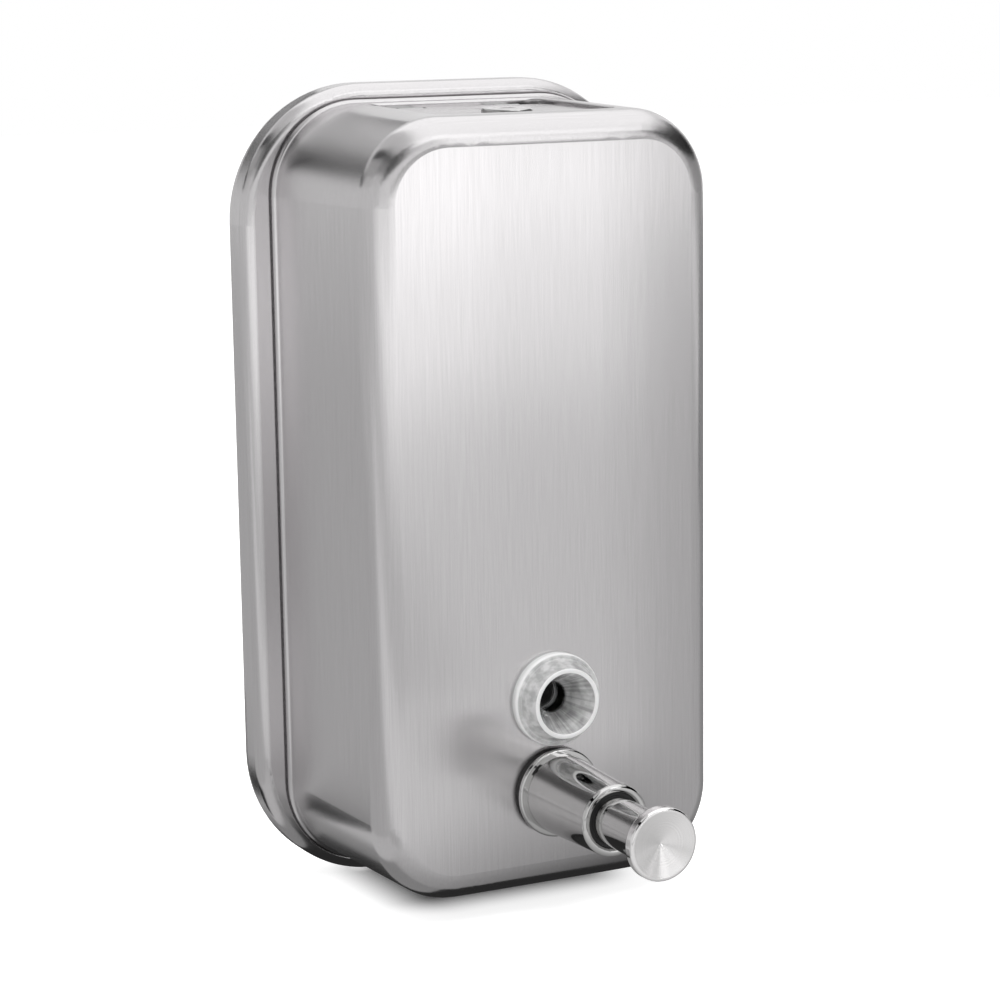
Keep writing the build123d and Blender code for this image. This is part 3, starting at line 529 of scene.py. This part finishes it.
# %% The sight glass's outline
SIGHT_FLANGE_R = 12.0
SIGHT_FLANGE_T = 1.8
SIGHT_BASE_R = 10.7  # of the raised window, where it leaves the flange
SIGHT_TIP_R = 8.95
SIGHT_WELL_R = 3.8
SIGHT_CONE_D = 9.0
SIGHT_END_T = 1.6
SIGHT_SHANK_R = 8.9
SIGHT_SHANK_L = 9.8  # behind the flange
SIGHT_AIR = 0.1
CRISP_ROUND = 0.15  # corners that sit against the wall
STEP_ROUND = 0.3
SOFT_ROUND = 0.4
FLANGE_ROUND = 0.9
ROUND_STEPS = 8
CONE_STEPS = 10


def rounded(corners):
    """The outline through some (point, radius) corners, with an arc at each that has a radius."""
    outline = []
    for place, (point, radius) in enumerate(corners):
        here = Vector(point)
        if not radius:
            outline.append(here)
            continue
        before = (Vector(corners[place - 1][0]) - here).normalized()
        after = (Vector(corners[place + 1][0]) - here).normalized()
        half = before.angle(after) / 2
        centre = here + (before + after).normalized() * radius / math.sin(half)
        start = here + before * radius / math.tan(half) - centre
        sweep = start.angle_signed(here + after * radius / math.tan(half) - centre)
        for arc_step in range(ROUND_STEPS + 1):
            outline.append(centre + Matrix.Rotation(-sweep * arc_step / ROUND_STEPS, 2) @ start)
    return outline


sight_low, sight_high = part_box("sight_glass")
sight_z = (sight_low[2] + sight_high[2]) / 2
tip = -sight_low[1] / MM
inner_end = -sight_high[1] / MM
flange_back = inner_end + SIGHT_SHANK_L + SIGHT_AIR
flange_front = inner_end + SIGHT_SHANK_L + SIGHT_FLANGE_T
well_floor = inner_end + SIGHT_END_T
shank_r = SIGHT_SHANK_R - SIGHT_AIR
mouth = Vector((tip, SIGHT_MOUTH_R))
well = Vector((tip - SIGHT_CONE_D, SIGHT_WELL_R))
slope_points = [mouth.lerp(well, cone_step / CONE_STEPS) for cone_step in range(1, CONE_STEPS + 1)]
sight_outline = rounded([
    ((inner_end, 0.0), 0),
    ((inner_end, shank_r), SOFT_ROUND),
    ((flange_back, shank_r), CRISP_ROUND),
    ((flange_back, SIGHT_FLANGE_R), CRISP_ROUND),
    ((flange_front, SIGHT_FLANGE_R), FLANGE_ROUND),
    ((flange_front, SIGHT_BASE_R), STEP_ROUND),
    ((tip, SIGHT_TIP_R), SOFT_ROUND),
    (mouth, SOFT_ROUND),
    *[(point, 0) for point in slope_points],
    ((well_floor, SIGHT_WELL_R), SOFT_ROUND),
    ((well_floor, 0.0), 0),
])
print("sight glass:", round(tip - inner_end, 1), "mm deep, outline of", len(sight_outline), "points")

# %% [markdown]
# ## The turning tree
# A tree turns the outline round its axis, as a lathe would. It makes a grid with one column for each point
# of the outline and one row for each step of the turn, and moves every grid point to its place. Blender's
# Screw modifier would turn it too, but the mould's cone was polished along its slope, which left fine
# flutes that catch the light, and a tree can ripple the radius there. How much of that ripple a point takes
# is kept in the third number of its place.

# %% The turning tree
WELD = 0.001  # points nearer than this become one, at the poles and where the turn closes


def turning_tree():
    """Turns an outline of (depth, radius, share of fluting) points about a front-to-back axis."""
    tree, given = new_tree("turned_window", {
        "Outline": "Geometry", "Segments": "Int", "Flute Width": "Float", "Flute Depth": "Float",
        "Mouth Radius": "Float", "Axis Height": "Float", "Material": "Material",
    })
    outline_size = add(tree, "GeometryNodeAttributeDomainSize", {"Geometry": given["Outline"]})
    count = outline_size.outputs["Point Count"]
    rows = add(tree, "ShaderNodeMath", {0: given["Segments"], 1: 1.0}, operation="ADD").outputs[0]
    grid = add(tree, "GeometryNodeMeshGrid", {"Vertices X": rows, "Vertices Y": count})
    index = add(tree, "GeometryNodeInputIndex").outputs["Index"]
    column = add(tree, "ShaderNodeMath", {0: index, 1: count}, operation="MODULO").outputs[0]
    progress = add(tree, "ShaderNodeMath", {0: index, 1: count}, operation="DIVIDE").outputs[0]
    row = add(tree, "ShaderNodeMath", {0: progress}, operation="FLOOR").outputs[0]
    turn = add(tree, "ShaderNodeMath", {0: row, 1: given["Segments"]}, operation="DIVIDE").outputs[0]
    angle = add(tree, "ShaderNodeMath", {0: turn, 1: math.tau}, operation="MULTIPLY").outputs[0]
    cosine = add(tree, "ShaderNodeMath", {0: angle}, operation="COSINE").outputs[0]
    sine = add(tree, "ShaderNodeMath", {0: angle}, operation="SINE").outputs[0]
    place = add(tree, "GeometryNodeInputPosition").outputs["Position"]
    point = add(tree, "GeometryNodeSampleIndex",
                {"Geometry": given["Outline"], "Value": place, "Index": column}, data_type="FLOAT_VECTOR")
    parts = add(tree, "ShaderNodeSeparateXYZ", {"Vector": point.outputs["Value"]}).outputs
    round_place = add(tree, "ShaderNodeCombineXYZ", {"X": cosine, "Y": sine}).outputs["Vector"]
    flutes_round = add(tree, "ShaderNodeMath", {0: given["Mouth Radius"], 1: given["Flute Width"]},
                       operation="DIVIDE").outputs[0]
    flutes = add(tree, "ShaderNodeTexNoise", {"Vector": round_place, "Scale": flutes_round, "Detail": 2.0})
    ripple = add(tree, "ShaderNodeMath", {0: flutes.outputs["Fac"], 1: 0.5}, operation="SUBTRACT").outputs[0]
    height = add(tree, "ShaderNodeMath", {0: ripple, 1: parts["Z"]}, operation="MULTIPLY").outputs[0]
    radius = add(tree, "ShaderNodeMath", {0: height, 1: given["Flute Depth"], 2: parts["Y"]},
                 operation="MULTIPLY_ADD").outputs[0]
    across = add(tree, "ShaderNodeMath", {0: radius, 1: cosine}, operation="MULTIPLY").outputs[0]
    back = add(tree, "ShaderNodeMath", {0: parts["X"], 1: -1.0}, operation="MULTIPLY").outputs[0]
    up = add(tree, "ShaderNodeMath", {0: radius, 1: sine, 2: given["Axis Height"]},
             operation="MULTIPLY_ADD").outputs[0]
    turned = add(tree, "ShaderNodeCombineXYZ", {"X": across, "Y": back, "Z": up})
    moved = add(tree, "GeometryNodeSetPosition",
                {"Geometry": grid.outputs["Mesh"], "Position": turned.outputs["Vector"]})
    closed = add(tree, "GeometryNodeMergeByDistance",
                 {"Geometry": moved.outputs["Geometry"], "Distance": WELD * MM})
    end_tree(tree, closed.outputs["Geometry"], given["Material"])
    return tree


window_tree = turning_tree()
print(window_tree.name, "has", len(window_tree.nodes), "nodes")

# %% [markdown]
# ## The sight glass
# The outline goes into the tree as a line of edges. Its flutes start behind the rounded mouth and grow to
# their full depth down the cone. The piece rides on the tank and stands for the CAD solid.

# %% The sight glass
SIGHT_SEGMENTS = 288
FLUTE_WIDTH = 0.6  # at the cone's mouth
FLUTE_DEPTH = 0.22
FLUTE_START = 0.6  # behind the tip
FLUTE_FULL = 3.0  # behind the tip
FLUTE_SPARE = 0.1  # so that the last point of the cone counts as on it


def fluting(depth, radius):
    """The share of the flutes' depth at a point of the outline."""
    on_cone = radius < SIGHT_MOUTH_R and well.x - FLUTE_SPARE < depth < tip - FLUTE_START
    return min(1.0, (tip - depth) / FLUTE_FULL) if on_cone else 0.0


outline_mesh = bpy.data.meshes.new("sight_outline")
outline_mesh.from_pydata(
    [(depth * MM, radius * MM, fluting(depth, radius)) for depth, radius in sight_outline],
    [(place, place + 1) for place in range(len(sight_outline) - 1)], []
)
sight_window = grown("sight_window", outline_mesh, window_tree, {
    "Segments": SIGHT_SEGMENTS, "Flute Width": FLUTE_WIDTH * MM, "Flute Depth": FLUTE_DEPTH * MM,
    "Mouth Radius": SIGHT_MOUTH_R * MM, "Axis Height": sight_z, "Material": acrylic,
})
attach(sight_window, "tank")
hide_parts("sight_glass")
print("sight glass:", len(sight_window.data.vertices), "points")

# %% [markdown]
# ## The winding tree
# Inside the pump a stainless wire spring pushes the button back. A helix follows a rule, so a second tree
# winds it: a row of points is bent round the axis, close together in the first and last turns, and a round
# wire runs along it. A curve drawn by hand would need hundreds of points for the same thing.

# %% The winding tree
WIRE_SIDES = 12


def winding_tree():
    """Winds a wire round a front-to-back axis, from Start towards the front."""
    tree, given = new_tree("wound_spring", {
        "Nothing": "Geometry", "Turns": "Int", "Steps": "Int", "Mean Radius": "Float",
        "Wire Radius": "Float", "Dead Pitch": "Float", "Live Pitch": "Float", "Start": "Float",
        "Axis Height": "Float", "Material": "Material",
    })
    count = add(tree, "ShaderNodeMath", {0: given["Turns"], 1: given["Steps"], 2: 1.0},
                operation="MULTIPLY_ADD").outputs[0]
    line = add(tree, "GeometryNodeMeshLine", {"Count": count})
    index = add(tree, "GeometryNodeInputIndex").outputs["Index"]
    turn = add(tree, "ShaderNodeMath", {0: index, 1: given["Steps"]}, operation="DIVIDE").outputs[0]
    after_first = add(tree, "ShaderNodeMath", {0: turn, 1: 1.0}, operation="SUBTRACT").outputs[0]
    started = add(tree, "ShaderNodeMath", {0: after_first, 1: 0.0}, operation="MAXIMUM").outputs[0]
    live_turns = add(tree, "ShaderNodeMath", {0: given["Turns"], 1: 2.0}, operation="SUBTRACT").outputs[0]
    live = add(tree, "ShaderNodeMath", {0: started, 1: live_turns}, operation="MINIMUM").outputs[0]
    dead = add(tree, "ShaderNodeMath", {0: turn, 1: live}, operation="SUBTRACT").outputs[0]
    dead_climb = add(tree, "ShaderNodeMath", {0: dead, 1: given["Dead Pitch"]},
                     operation="MULTIPLY").outputs[0]
    climb = add(tree, "ShaderNodeMath", {0: live, 1: given["Live Pitch"], 2: dead_climb},
                operation="MULTIPLY_ADD").outputs[0]
    forward = add(tree, "ShaderNodeMath", {0: climb, 1: given["Start"]}, operation="ADD").outputs[0]
    angle = add(tree, "ShaderNodeMath", {0: turn, 1: math.tau}, operation="MULTIPLY").outputs[0]
    cosine = add(tree, "ShaderNodeMath", {0: angle}, operation="COSINE").outputs[0]
    sine = add(tree, "ShaderNodeMath", {0: angle}, operation="SINE").outputs[0]
    across = add(tree, "ShaderNodeMath", {0: cosine, 1: given["Mean Radius"]},
                 operation="MULTIPLY").outputs[0]
    back = add(tree, "ShaderNodeMath", {0: forward, 1: -1.0}, operation="MULTIPLY").outputs[0]
    up = add(tree, "ShaderNodeMath", {0: sine, 1: given["Mean Radius"], 2: given["Axis Height"]},
             operation="MULTIPLY_ADD").outputs[0]
    wound = add(tree, "ShaderNodeCombineXYZ", {"X": across, "Y": back, "Z": up})
    bent = add(tree, "GeometryNodeSetPosition",
               {"Geometry": line.outputs["Mesh"], "Position": wound.outputs["Vector"]})
    path = add(tree, "GeometryNodeMeshToCurve", {"Mesh": bent.outputs["Geometry"]})
    wire = add(tree, "GeometryNodeCurvePrimitiveCircle",
               {"Resolution": WIRE_SIDES, "Radius": given["Wire Radius"]})
    tube = add(tree, "GeometryNodeCurveToMesh",
               {"Curve": path.outputs["Curve"], "Profile Curve": wire.outputs["Curve"], "Fill Caps": True})
    end_tree(tree, tube.outputs["Mesh"], given["Material"])
    return tree


spring_tree = winding_tree()
print(spring_tree.name, "has", len(spring_tree.nodes), "nodes")

# %% [markdown]
# ## The return spring
# The spring's length, width and height come from the CAD solid's own box.

# %% The return spring
SPRING_WIRE_R = 0.45
SPRING_TURNS = 8
SPRING_DEAD_PITCH = 1.4  # the closed turns at both ends
SPRING_STEPS = 40  # points in a turn

spring_low, spring_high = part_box("return_spring")
spring_length = (spring_high[1] - spring_low[1]) / MM
spring_mean_r = (spring_high[0] - spring_low[0]) / MM / 2 - SPRING_WIRE_R
spring_z = (spring_low[2] + spring_high[2]) / 2
live_pitch = (spring_length - 2 * SPRING_WIRE_R - 2 * SPRING_DEAD_PITCH) / (SPRING_TURNS - 2)
return_wire = grown("return_wire", bpy.data.meshes.new("spring_start"), spring_tree, {
    "Turns": SPRING_TURNS, "Steps": SPRING_STEPS, "Mean Radius": spring_mean_r * MM,
    "Wire Radius": SPRING_WIRE_R * MM, "Dead Pitch": SPRING_DEAD_PITCH * MM, "Live Pitch": live_pitch * MM,
    "Start": -spring_high[1] + SPRING_WIRE_R * MM, "Axis Height": spring_z, "Material": rolled,
})
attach(return_wire, "tank")
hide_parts("return_spring")
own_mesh(return_wire)
print("return spring:", round(spring_length, 1), "mm long, live pitch", round(live_pitch, 2), "mm")

# %% [markdown]
# ## The room
# Nothing but white stands behind the dispenser. The world is white where the camera, a mirror or glass looks
# at it. As a source of light it is half as bright, so that pale surfaces don't burn out.

# %% The room
ROOM_LIGHT = 0.5


def seen_directly(tree):
    """1 for camera, mirror and glass rays, which should all find the same white room."""
    path = add(tree, "ShaderNodeLightPath").outputs
    first = add(tree, "ShaderNodeMath", {0: path["Is Camera Ray"], 1: path["Is Glossy Ray"]},
                operation="MAXIMUM").outputs[0]
    return add(tree, "ShaderNodeMath", {0: first, 1: path["Is Transmission Ray"]},
               operation="MAXIMUM").outputs[0]


world = bpy.data.worlds.new("white_room")
bpy.context.scene.world = world
world.use_nodes = True
world_tree = world.node_tree
world_tree.nodes.clear()
room_level = add(world_tree, "ShaderNodeMapRange",
                 {"Value": seen_directly(world_tree), "To Min": ROOM_LIGHT, "To Max": 1.0})
room_white = add(world_tree, "ShaderNodeBackground",
                 {"Color": linear("FFFFFF"), "Strength": room_level.outputs["Result"]})
add(world_tree, "ShaderNodeOutputWorld", {"Surface": room_white.outputs["Background"]})
print("the room lights with", ROOM_LIGHT, "and looks white")

# %% [markdown]
# ## The floor
# The dispenser stands on white paper. Lit plainly, paper comes out pale grey, so the floor also glows up to
# the room's white for the rays that see it directly. The glow fades away towards a small patch under the
# tank, so the tank's shadow stays. Inside the patch the floor is only lamp-lit and grey, so the patch's size
# sets how far the shadow reaches: a shadow that is partly real and partly painted.

# %% The floor
FLOOR_Z = cad_low[2] - 0.3 * MM
FLOOR_REACH = 4.0  # metres to each side
FLOOR_GLOW = 0.8
SHADOW_FORWARD = 29.0  # the middle of the shadow, in front of the wall
SHADOW_HALF_WIDTH = 21.0
SHADOW_HALF_DEPTH = 13.0
SHADOW_FADE = 18.0


def white_floor():
    """Matt white paper with a soft shadow under the tank, partly real and partly painted by the patch."""
    material, tree = empty_material("white_floor")
    place = add(tree, "ShaderNodeTexCoord").outputs["Object"]
    # where the glow is left out the floor stays grey: painted shadow over the lamp's real one
    centred = add(tree, "ShaderNodeVectorMath", {0: place, 1: (0, SHADOW_FORWARD * MM, 0)}, operation="ADD")
    spread = add(tree, "ShaderNodeVectorMath", {0: centred.outputs["Vector"]}, operation="ABSOLUTE")
    over = add(tree, "ShaderNodeVectorMath",
               {0: spread.outputs["Vector"], 1: (SHADOW_HALF_WIDTH * MM, SHADOW_HALF_DEPTH * MM, 1)},
               operation="SUBTRACT")
    past = add(tree, "ShaderNodeVectorMath", {0: over.outputs["Vector"], 1: (0, 0, 0)}, operation="MAXIMUM")
    away = add(tree, "ShaderNodeVectorMath", {0: past.outputs["Vector"]}, operation="LENGTH")
    fade = add(tree, "ShaderNodeMapRange",
               {"Value": away.outputs["Value"], "From Max": SHADOW_FADE * MM, "To Max": FLOOR_GLOW},
               interpolation_type="SMOOTHSTEP")
    level = add(tree, "ShaderNodeMath", {0: seen_directly(tree), 1: fade.outputs["Result"]},
                operation="MULTIPLY")
    paper = add(tree, "ShaderNodeBsdfDiffuse", {"Color": linear("F2F2F2")})
    glow = add(tree, "ShaderNodeEmission", {"Strength": level.outputs[0]})
    both = add(tree, "ShaderNodeAddShader", {0: paper.outputs["BSDF"], 1: glow.outputs["Emission"]})
    add(tree, "ShaderNodeOutputMaterial", {"Surface": both.outputs["Shader"]})
    return material


floor_mesh = bpy.data.meshes.new("floor")
floor_mesh.from_pydata(
    [(-FLOOR_REACH, -FLOOR_REACH, FLOOR_Z), (FLOOR_REACH, -FLOOR_REACH, FLOOR_Z),
     (FLOOR_REACH, FLOOR_REACH, FLOOR_Z), (-FLOOR_REACH, FLOOR_REACH, FLOOR_Z)],
    [], [(0, 1, 2, 3)]
)
floor_mesh.materials.append(white_floor())
floor = bpy.data.objects.new("floor", floor_mesh)
bpy.context.scene.collection.objects.link(floor)
print("floor at", round(FLOOR_Z / MM, 1), "mm")

# %% [markdown]
# ## The lamp
# One wide soft lamp hangs above and a little in front, and gives the shadow under the tank. Reflections
# don't see it, because the boards below make them.

# %% The lamp
LAMP_PLACE = Vector((-0.2, -0.3, 1.5))  # metres
LAMP_TARGET = Vector((0, -0.04, -0.03))  # the middle of the tank
LAMP_WIDTH = 1.6
LAMP_WATTS = 26.0

lamp = bpy.data.lights.new("overhead_lamp", "AREA")
lamp.shape = "SQUARE"
lamp.size = LAMP_WIDTH
lamp.energy = LAMP_WATTS
lamp_holder = bpy.data.objects.new("overhead_lamp", lamp)
lamp_holder.location = LAMP_PLACE
lamp_holder.rotation_euler = (LAMP_TARGET - LAMP_PLACE).to_track_quat("-Z", "Y").to_euler()
lamp_holder.visible_glossy = False
bpy.context.scene.collection.objects.link(lamp_holder)
print("lamp", round((LAMP_TARGET - LAMP_PLACE).length, 2), "m from the tank")

# %% [markdown]
# ## Boards
# Polished and brushed metal is made by what stands round it, so a photographer sets up white, grey and black
# boards and watches the reflections. Painting light and dark on the metal instead would look wrong from any
# other side. Each board here is one flat face that glows evenly, and only reflections and glass can see it,
# so it neither lights the floor nor throws a shadow. One of them grows lighter away from the tank, as a
# floor does beyond the shade of what stands on it. Their sizes are in metres.

# %% Boards
ROOM = 2.0  # the upright boards stand this far away and are as high as this
BOARD_Z = cad_low[2] + 0.5 * MM  # boards on the floor lie just above it
BOARD_FOOT = cad_low[2] + 1.0 * MM  # where upright boards start
LAYER = 0.1 * MM  # between boards that overlap on the floor
GRADE_WAY = Vector((-0.7, -1.0, 0.0)).normalized()  # the graded board grows lighter this way
GRADE_START = 0.0369  # from this distance along it
GRADE_END = 0.1393
boards = []


def on_floor(*plan, layer=0):
    """The corners of a board that lies on the floor; a higher layer covers a lower one."""
    return [(x, y, BOARD_Z + layer * LAYER) for x, y in plan]


def patch(left, right, back, front, layer=0):
    """The corners of a rectangle on the floor."""
    return on_floor((left, back), (right, back), (right, front), (left, front), layer=layer)


def upright(start, end, low, high):
    """The corners of a board that stands on the line from start to end."""
    return [(*start, low), (*end, low), (*end, high), (*start, high)]


def overhead(left, right):
    """The corners of a board across the ceiling."""
    return [(left, ROOM, ROOM), (right, ROOM, ROOM), (right, -ROOM, ROOM), (left, -ROOM, ROOM)]


def board(name, level, corners, rises_to=None):
    """Set up a board: level 1 is the room's white, and a graded board rises from its level to another."""
    paint, tree = empty_material(name)
    if rises_to is not None:
        place = add(tree, "ShaderNodeTexCoord").outputs["Object"]
        along = add(tree, "ShaderNodeVectorMath", {0: place, 1: GRADE_WAY}, operation="DOT_PRODUCT")
        level = add(tree, "ShaderNodeMapRange",
                    {"Value": along.outputs["Value"], "From Min": GRADE_START, "From Max": GRADE_END,
                     "To Min": level, "To Max": rises_to}).outputs["Result"]
    glow = add(tree, "ShaderNodeEmission", {"Strength": level})
    add(tree, "ShaderNodeOutputMaterial", {"Surface": glow.outputs["Emission"]})
    mesh = bpy.data.meshes.new(name)
    mesh.from_pydata(corners, [], [range(len(corners))])
    mesh.materials.append(paint)
    made = bpy.data.objects.new(name, mesh)
    made.visible_camera = False
    made.visible_diffuse = False
    made.visible_shadow = False
    bpy.context.scene.collection.objects.link(made)
    boards.append(made)


print("boards stand", ROOM, "m away")

# %% [markdown]
# ## Boards in front
# The tank's face shows the floor before it, which is dark close to the tank and pale further out. The dark
# boards close to the tank are painted shadow, the tank's own shade on the floor as its reflections see it.
# The top of the face shows a bright low box behind the camera. A grey wedge on the floor darkens the right
# of the face. The higher boards show in the rounded corners, where dark ones set off the bright.

# %% Boards in front
# painted shadow: a near-black board under the tank, for its shade as reflections see it
board("painted_shade_under_tank", 0.03, on_floor((-0.047, 0.03), (0.07, 0.03), (0.07, -0.073), (-0.03, -0.073),
                                   (-0.047, -0.04), layer=2))
# painted shade: a grey board along the tank's foot
board("painted_shade_front_edge", 0.3, patch(-0.06, ROOM, 0.03, -0.073, layer=1))
board("front_floor", 0.8, patch(-ROOM, ROOM, -0.135, -0.95))
board("front_left", 0.6, patch(-ROOM, 0.08, -0.3, -0.6, layer=1))
board("front_end", 1.3, patch(-ROOM, ROOM, -0.95, -ROOM))
board("front_right", 0.5, on_floor((0.03, -0.073), (0.6, -0.073), (ROOM, -ROOM), (1.25, -ROOM), layer=2))
board("front_box", 2.0, upright((0.35, -ROOM), (1.15, -ROOM), BOARD_FOOT, 0.03))
board("front_gap", 0.5, upright((-0.2, -ROOM), (1.7, -ROOM), 0.03, 0.36))
board("front_sky", 0.9, upright((-0.3, -ROOM), (0.8, -ROOM), 0.36, 1.3))
board("front_right_sky", 2.0, upright((0.8, -ROOM), (1.4, -ROOM), 0.36, 1.3))
board("front_dark_sky", 0.0, upright((1.4, -ROOM), (ROOM, -ROOM), 0.36, 1.3))
board("front_top", 1.6, upright((-0.3, -ROOM), (ROOM, -ROOM), 1.3, ROOM))
board("camera_low", 0.85, upright((-ROOM, -ROOM), (-0.3, -ROOM), BOARD_FOOT, 0.8))
board("camera_wall", 0.05, upright((-ROOM, -ROOM), (-0.3, -ROOM), 0.8, ROOM))
board("camera_side", 0.7, upright((-ROOM, -ROOM), (-ROOM, -0.35), BOARD_FOOT, 1.2))
board("camera_side_top", 0.3, upright((-ROOM, -ROOM), (-ROOM, -0.35), 1.2, ROOM))
# painted shade that lifts away from the tank, as its shadow on the floor fades
board("front_shade", 0.05, patch(-0.06, ROOM, -0.073, -0.2, layer=1), rises_to=0.8)
print(len(boards), "boards in front")

# %% [markdown]
# ## Boards at the sides
# The right of the room is dark and shows in the tank's rounded top right corner. The left is grey, with a
# narrow black strip on the floor that shows as a dark streak low on the tank's left side.

# %% Boards at the sides
board("right_floor", 0.3, patch(0.07, ROOM, ROOM, -0.07))
board("right_low", 0.35, upright((ROOM, 1.0), (ROOM, -1.8), BOARD_FOOT, 0.4))
board("right_wall", 0.0, upright((ROOM, 1.0), (ROOM, -ROOM), 0.4, 1.4))
board("right_high", 0.8, upright((ROOM, ROOM), (ROOM, -ROOM), 1.4, ROOM))
board("left_near", 0.5, patch(-0.7, 0, 0.03, -0.135))
board("left_back", 0.5, patch(-0.7, -0.047, ROOM, 0.03))
board("left_strip", 0.0, patch(-0.09, -0.064, 0.2, 0, layer=2))
board("left_corner", 0.6, patch(-0.1, -0.062, 0, -0.1, layer=2))
board("left_far", 0.6, on_floor((-ROOM, ROOM), (-0.7, ROOM), (-0.7, -0.105), (-ROOM, -0.4), layer=2))
board("left_wall", 0.7, upright((-ROOM, -0.35), (-ROOM, ROOM), BOARD_FOOT, 0.62))
board("left_upper", 0.6, upright((-ROOM, -0.35), (-ROOM, 1.4), 0.62, 1.02))
board("left_band", 0.1, upright((-ROOM, 1.4), (-ROOM, ROOM), 0.62, 1.02))
board("left_top", 0.45, upright((-ROOM, -0.35), (-ROOM, ROOM), 1.02, ROOM))
print(len(boards), "boards in front and at the sides")

# %% [markdown]
# ## Boards behind and above
# The rounded top of the tank shows the wall behind it and the ceiling. A black band on that wall and a dark
# left end of the ceiling draw the dark lines round the top left corners of both shells.

# %% Boards behind and above
board("back_floor", 0.7, patch(-0.047, 0.07, ROOM, 0.03))
board("back_low", 0.7, upright((-ROOM, ROOM), (0.6, ROOM), BOARD_FOOT, 0.6))
board("back_band", 0.0, upright((-ROOM, ROOM), (0.6, ROOM), 0.6, 1.05))
board("back_high", 0.8, upright((-ROOM, ROOM), (0.6, ROOM), 1.05, ROOM))
board("back_right", 0.85, upright((0.6, ROOM), (ROOM, ROOM), BOARD_FOOT, ROOM))
board("ceiling_left", 0.0, overhead(-ROOM, -1.4))
board("ceiling_middle", 0.65, overhead(-1.4, -0.35))
board("ceiling", 1.35, overhead(-0.35, ROOM))
print(len(boards), "boards in all")

# %% [markdown]
# ## The camera
# It stands to the left of the dispenser and a little above it, as the photographer did. Its place and turn
# were worked out from the straight edges and the circles of the object. A small shift of the lens frames the
# picture without turning the camera, so upright edges keep their slant.

# %% The camera
CAMERA_PLACE = (-333.01, -692.38, 98.52)  # millimetres
CAMERA_RIGHT = (0.89662, -0.44247, -0.01711)
CAMERA_UP = (0.09732, 0.15921, 0.98244)
SENSOR_WIDTH = 36.0
FOCAL_LENGTH = 103.15
SHIFT_RIGHT = 0.0521
SHIFT_UP = 0.0301
NEAREST_SEEN = 0.01  # metres

lens = bpy.data.cameras.new("camera")
lens.sensor_width = SENSOR_WIDTH
lens.lens = FOCAL_LENGTH
lens.shift_x = SHIFT_RIGHT
lens.shift_y = SHIFT_UP
lens.clip_start = NEAREST_SEEN
camera = bpy.data.objects.new("camera", lens)
camera_right = Vector(CAMERA_RIGHT).normalized()
camera_back = camera_right.cross(Vector(CAMERA_UP)).normalized()
camera_up = camera_back.cross(camera_right)
camera_turn = Matrix((camera_right, camera_up, camera_back)).transposed().to_4x4()
camera.matrix_world = Matrix.Translation(Vector(CAMERA_PLACE) * MM) @ camera_turn
bpy.context.scene.collection.objects.link(camera)
bpy.context.scene.camera = camera
bpy.context.scene.view_settings.view_transform = "Standard"
print("camera", round(Vector(CAMERA_PLACE).length), "mm from the wall plate's middle")
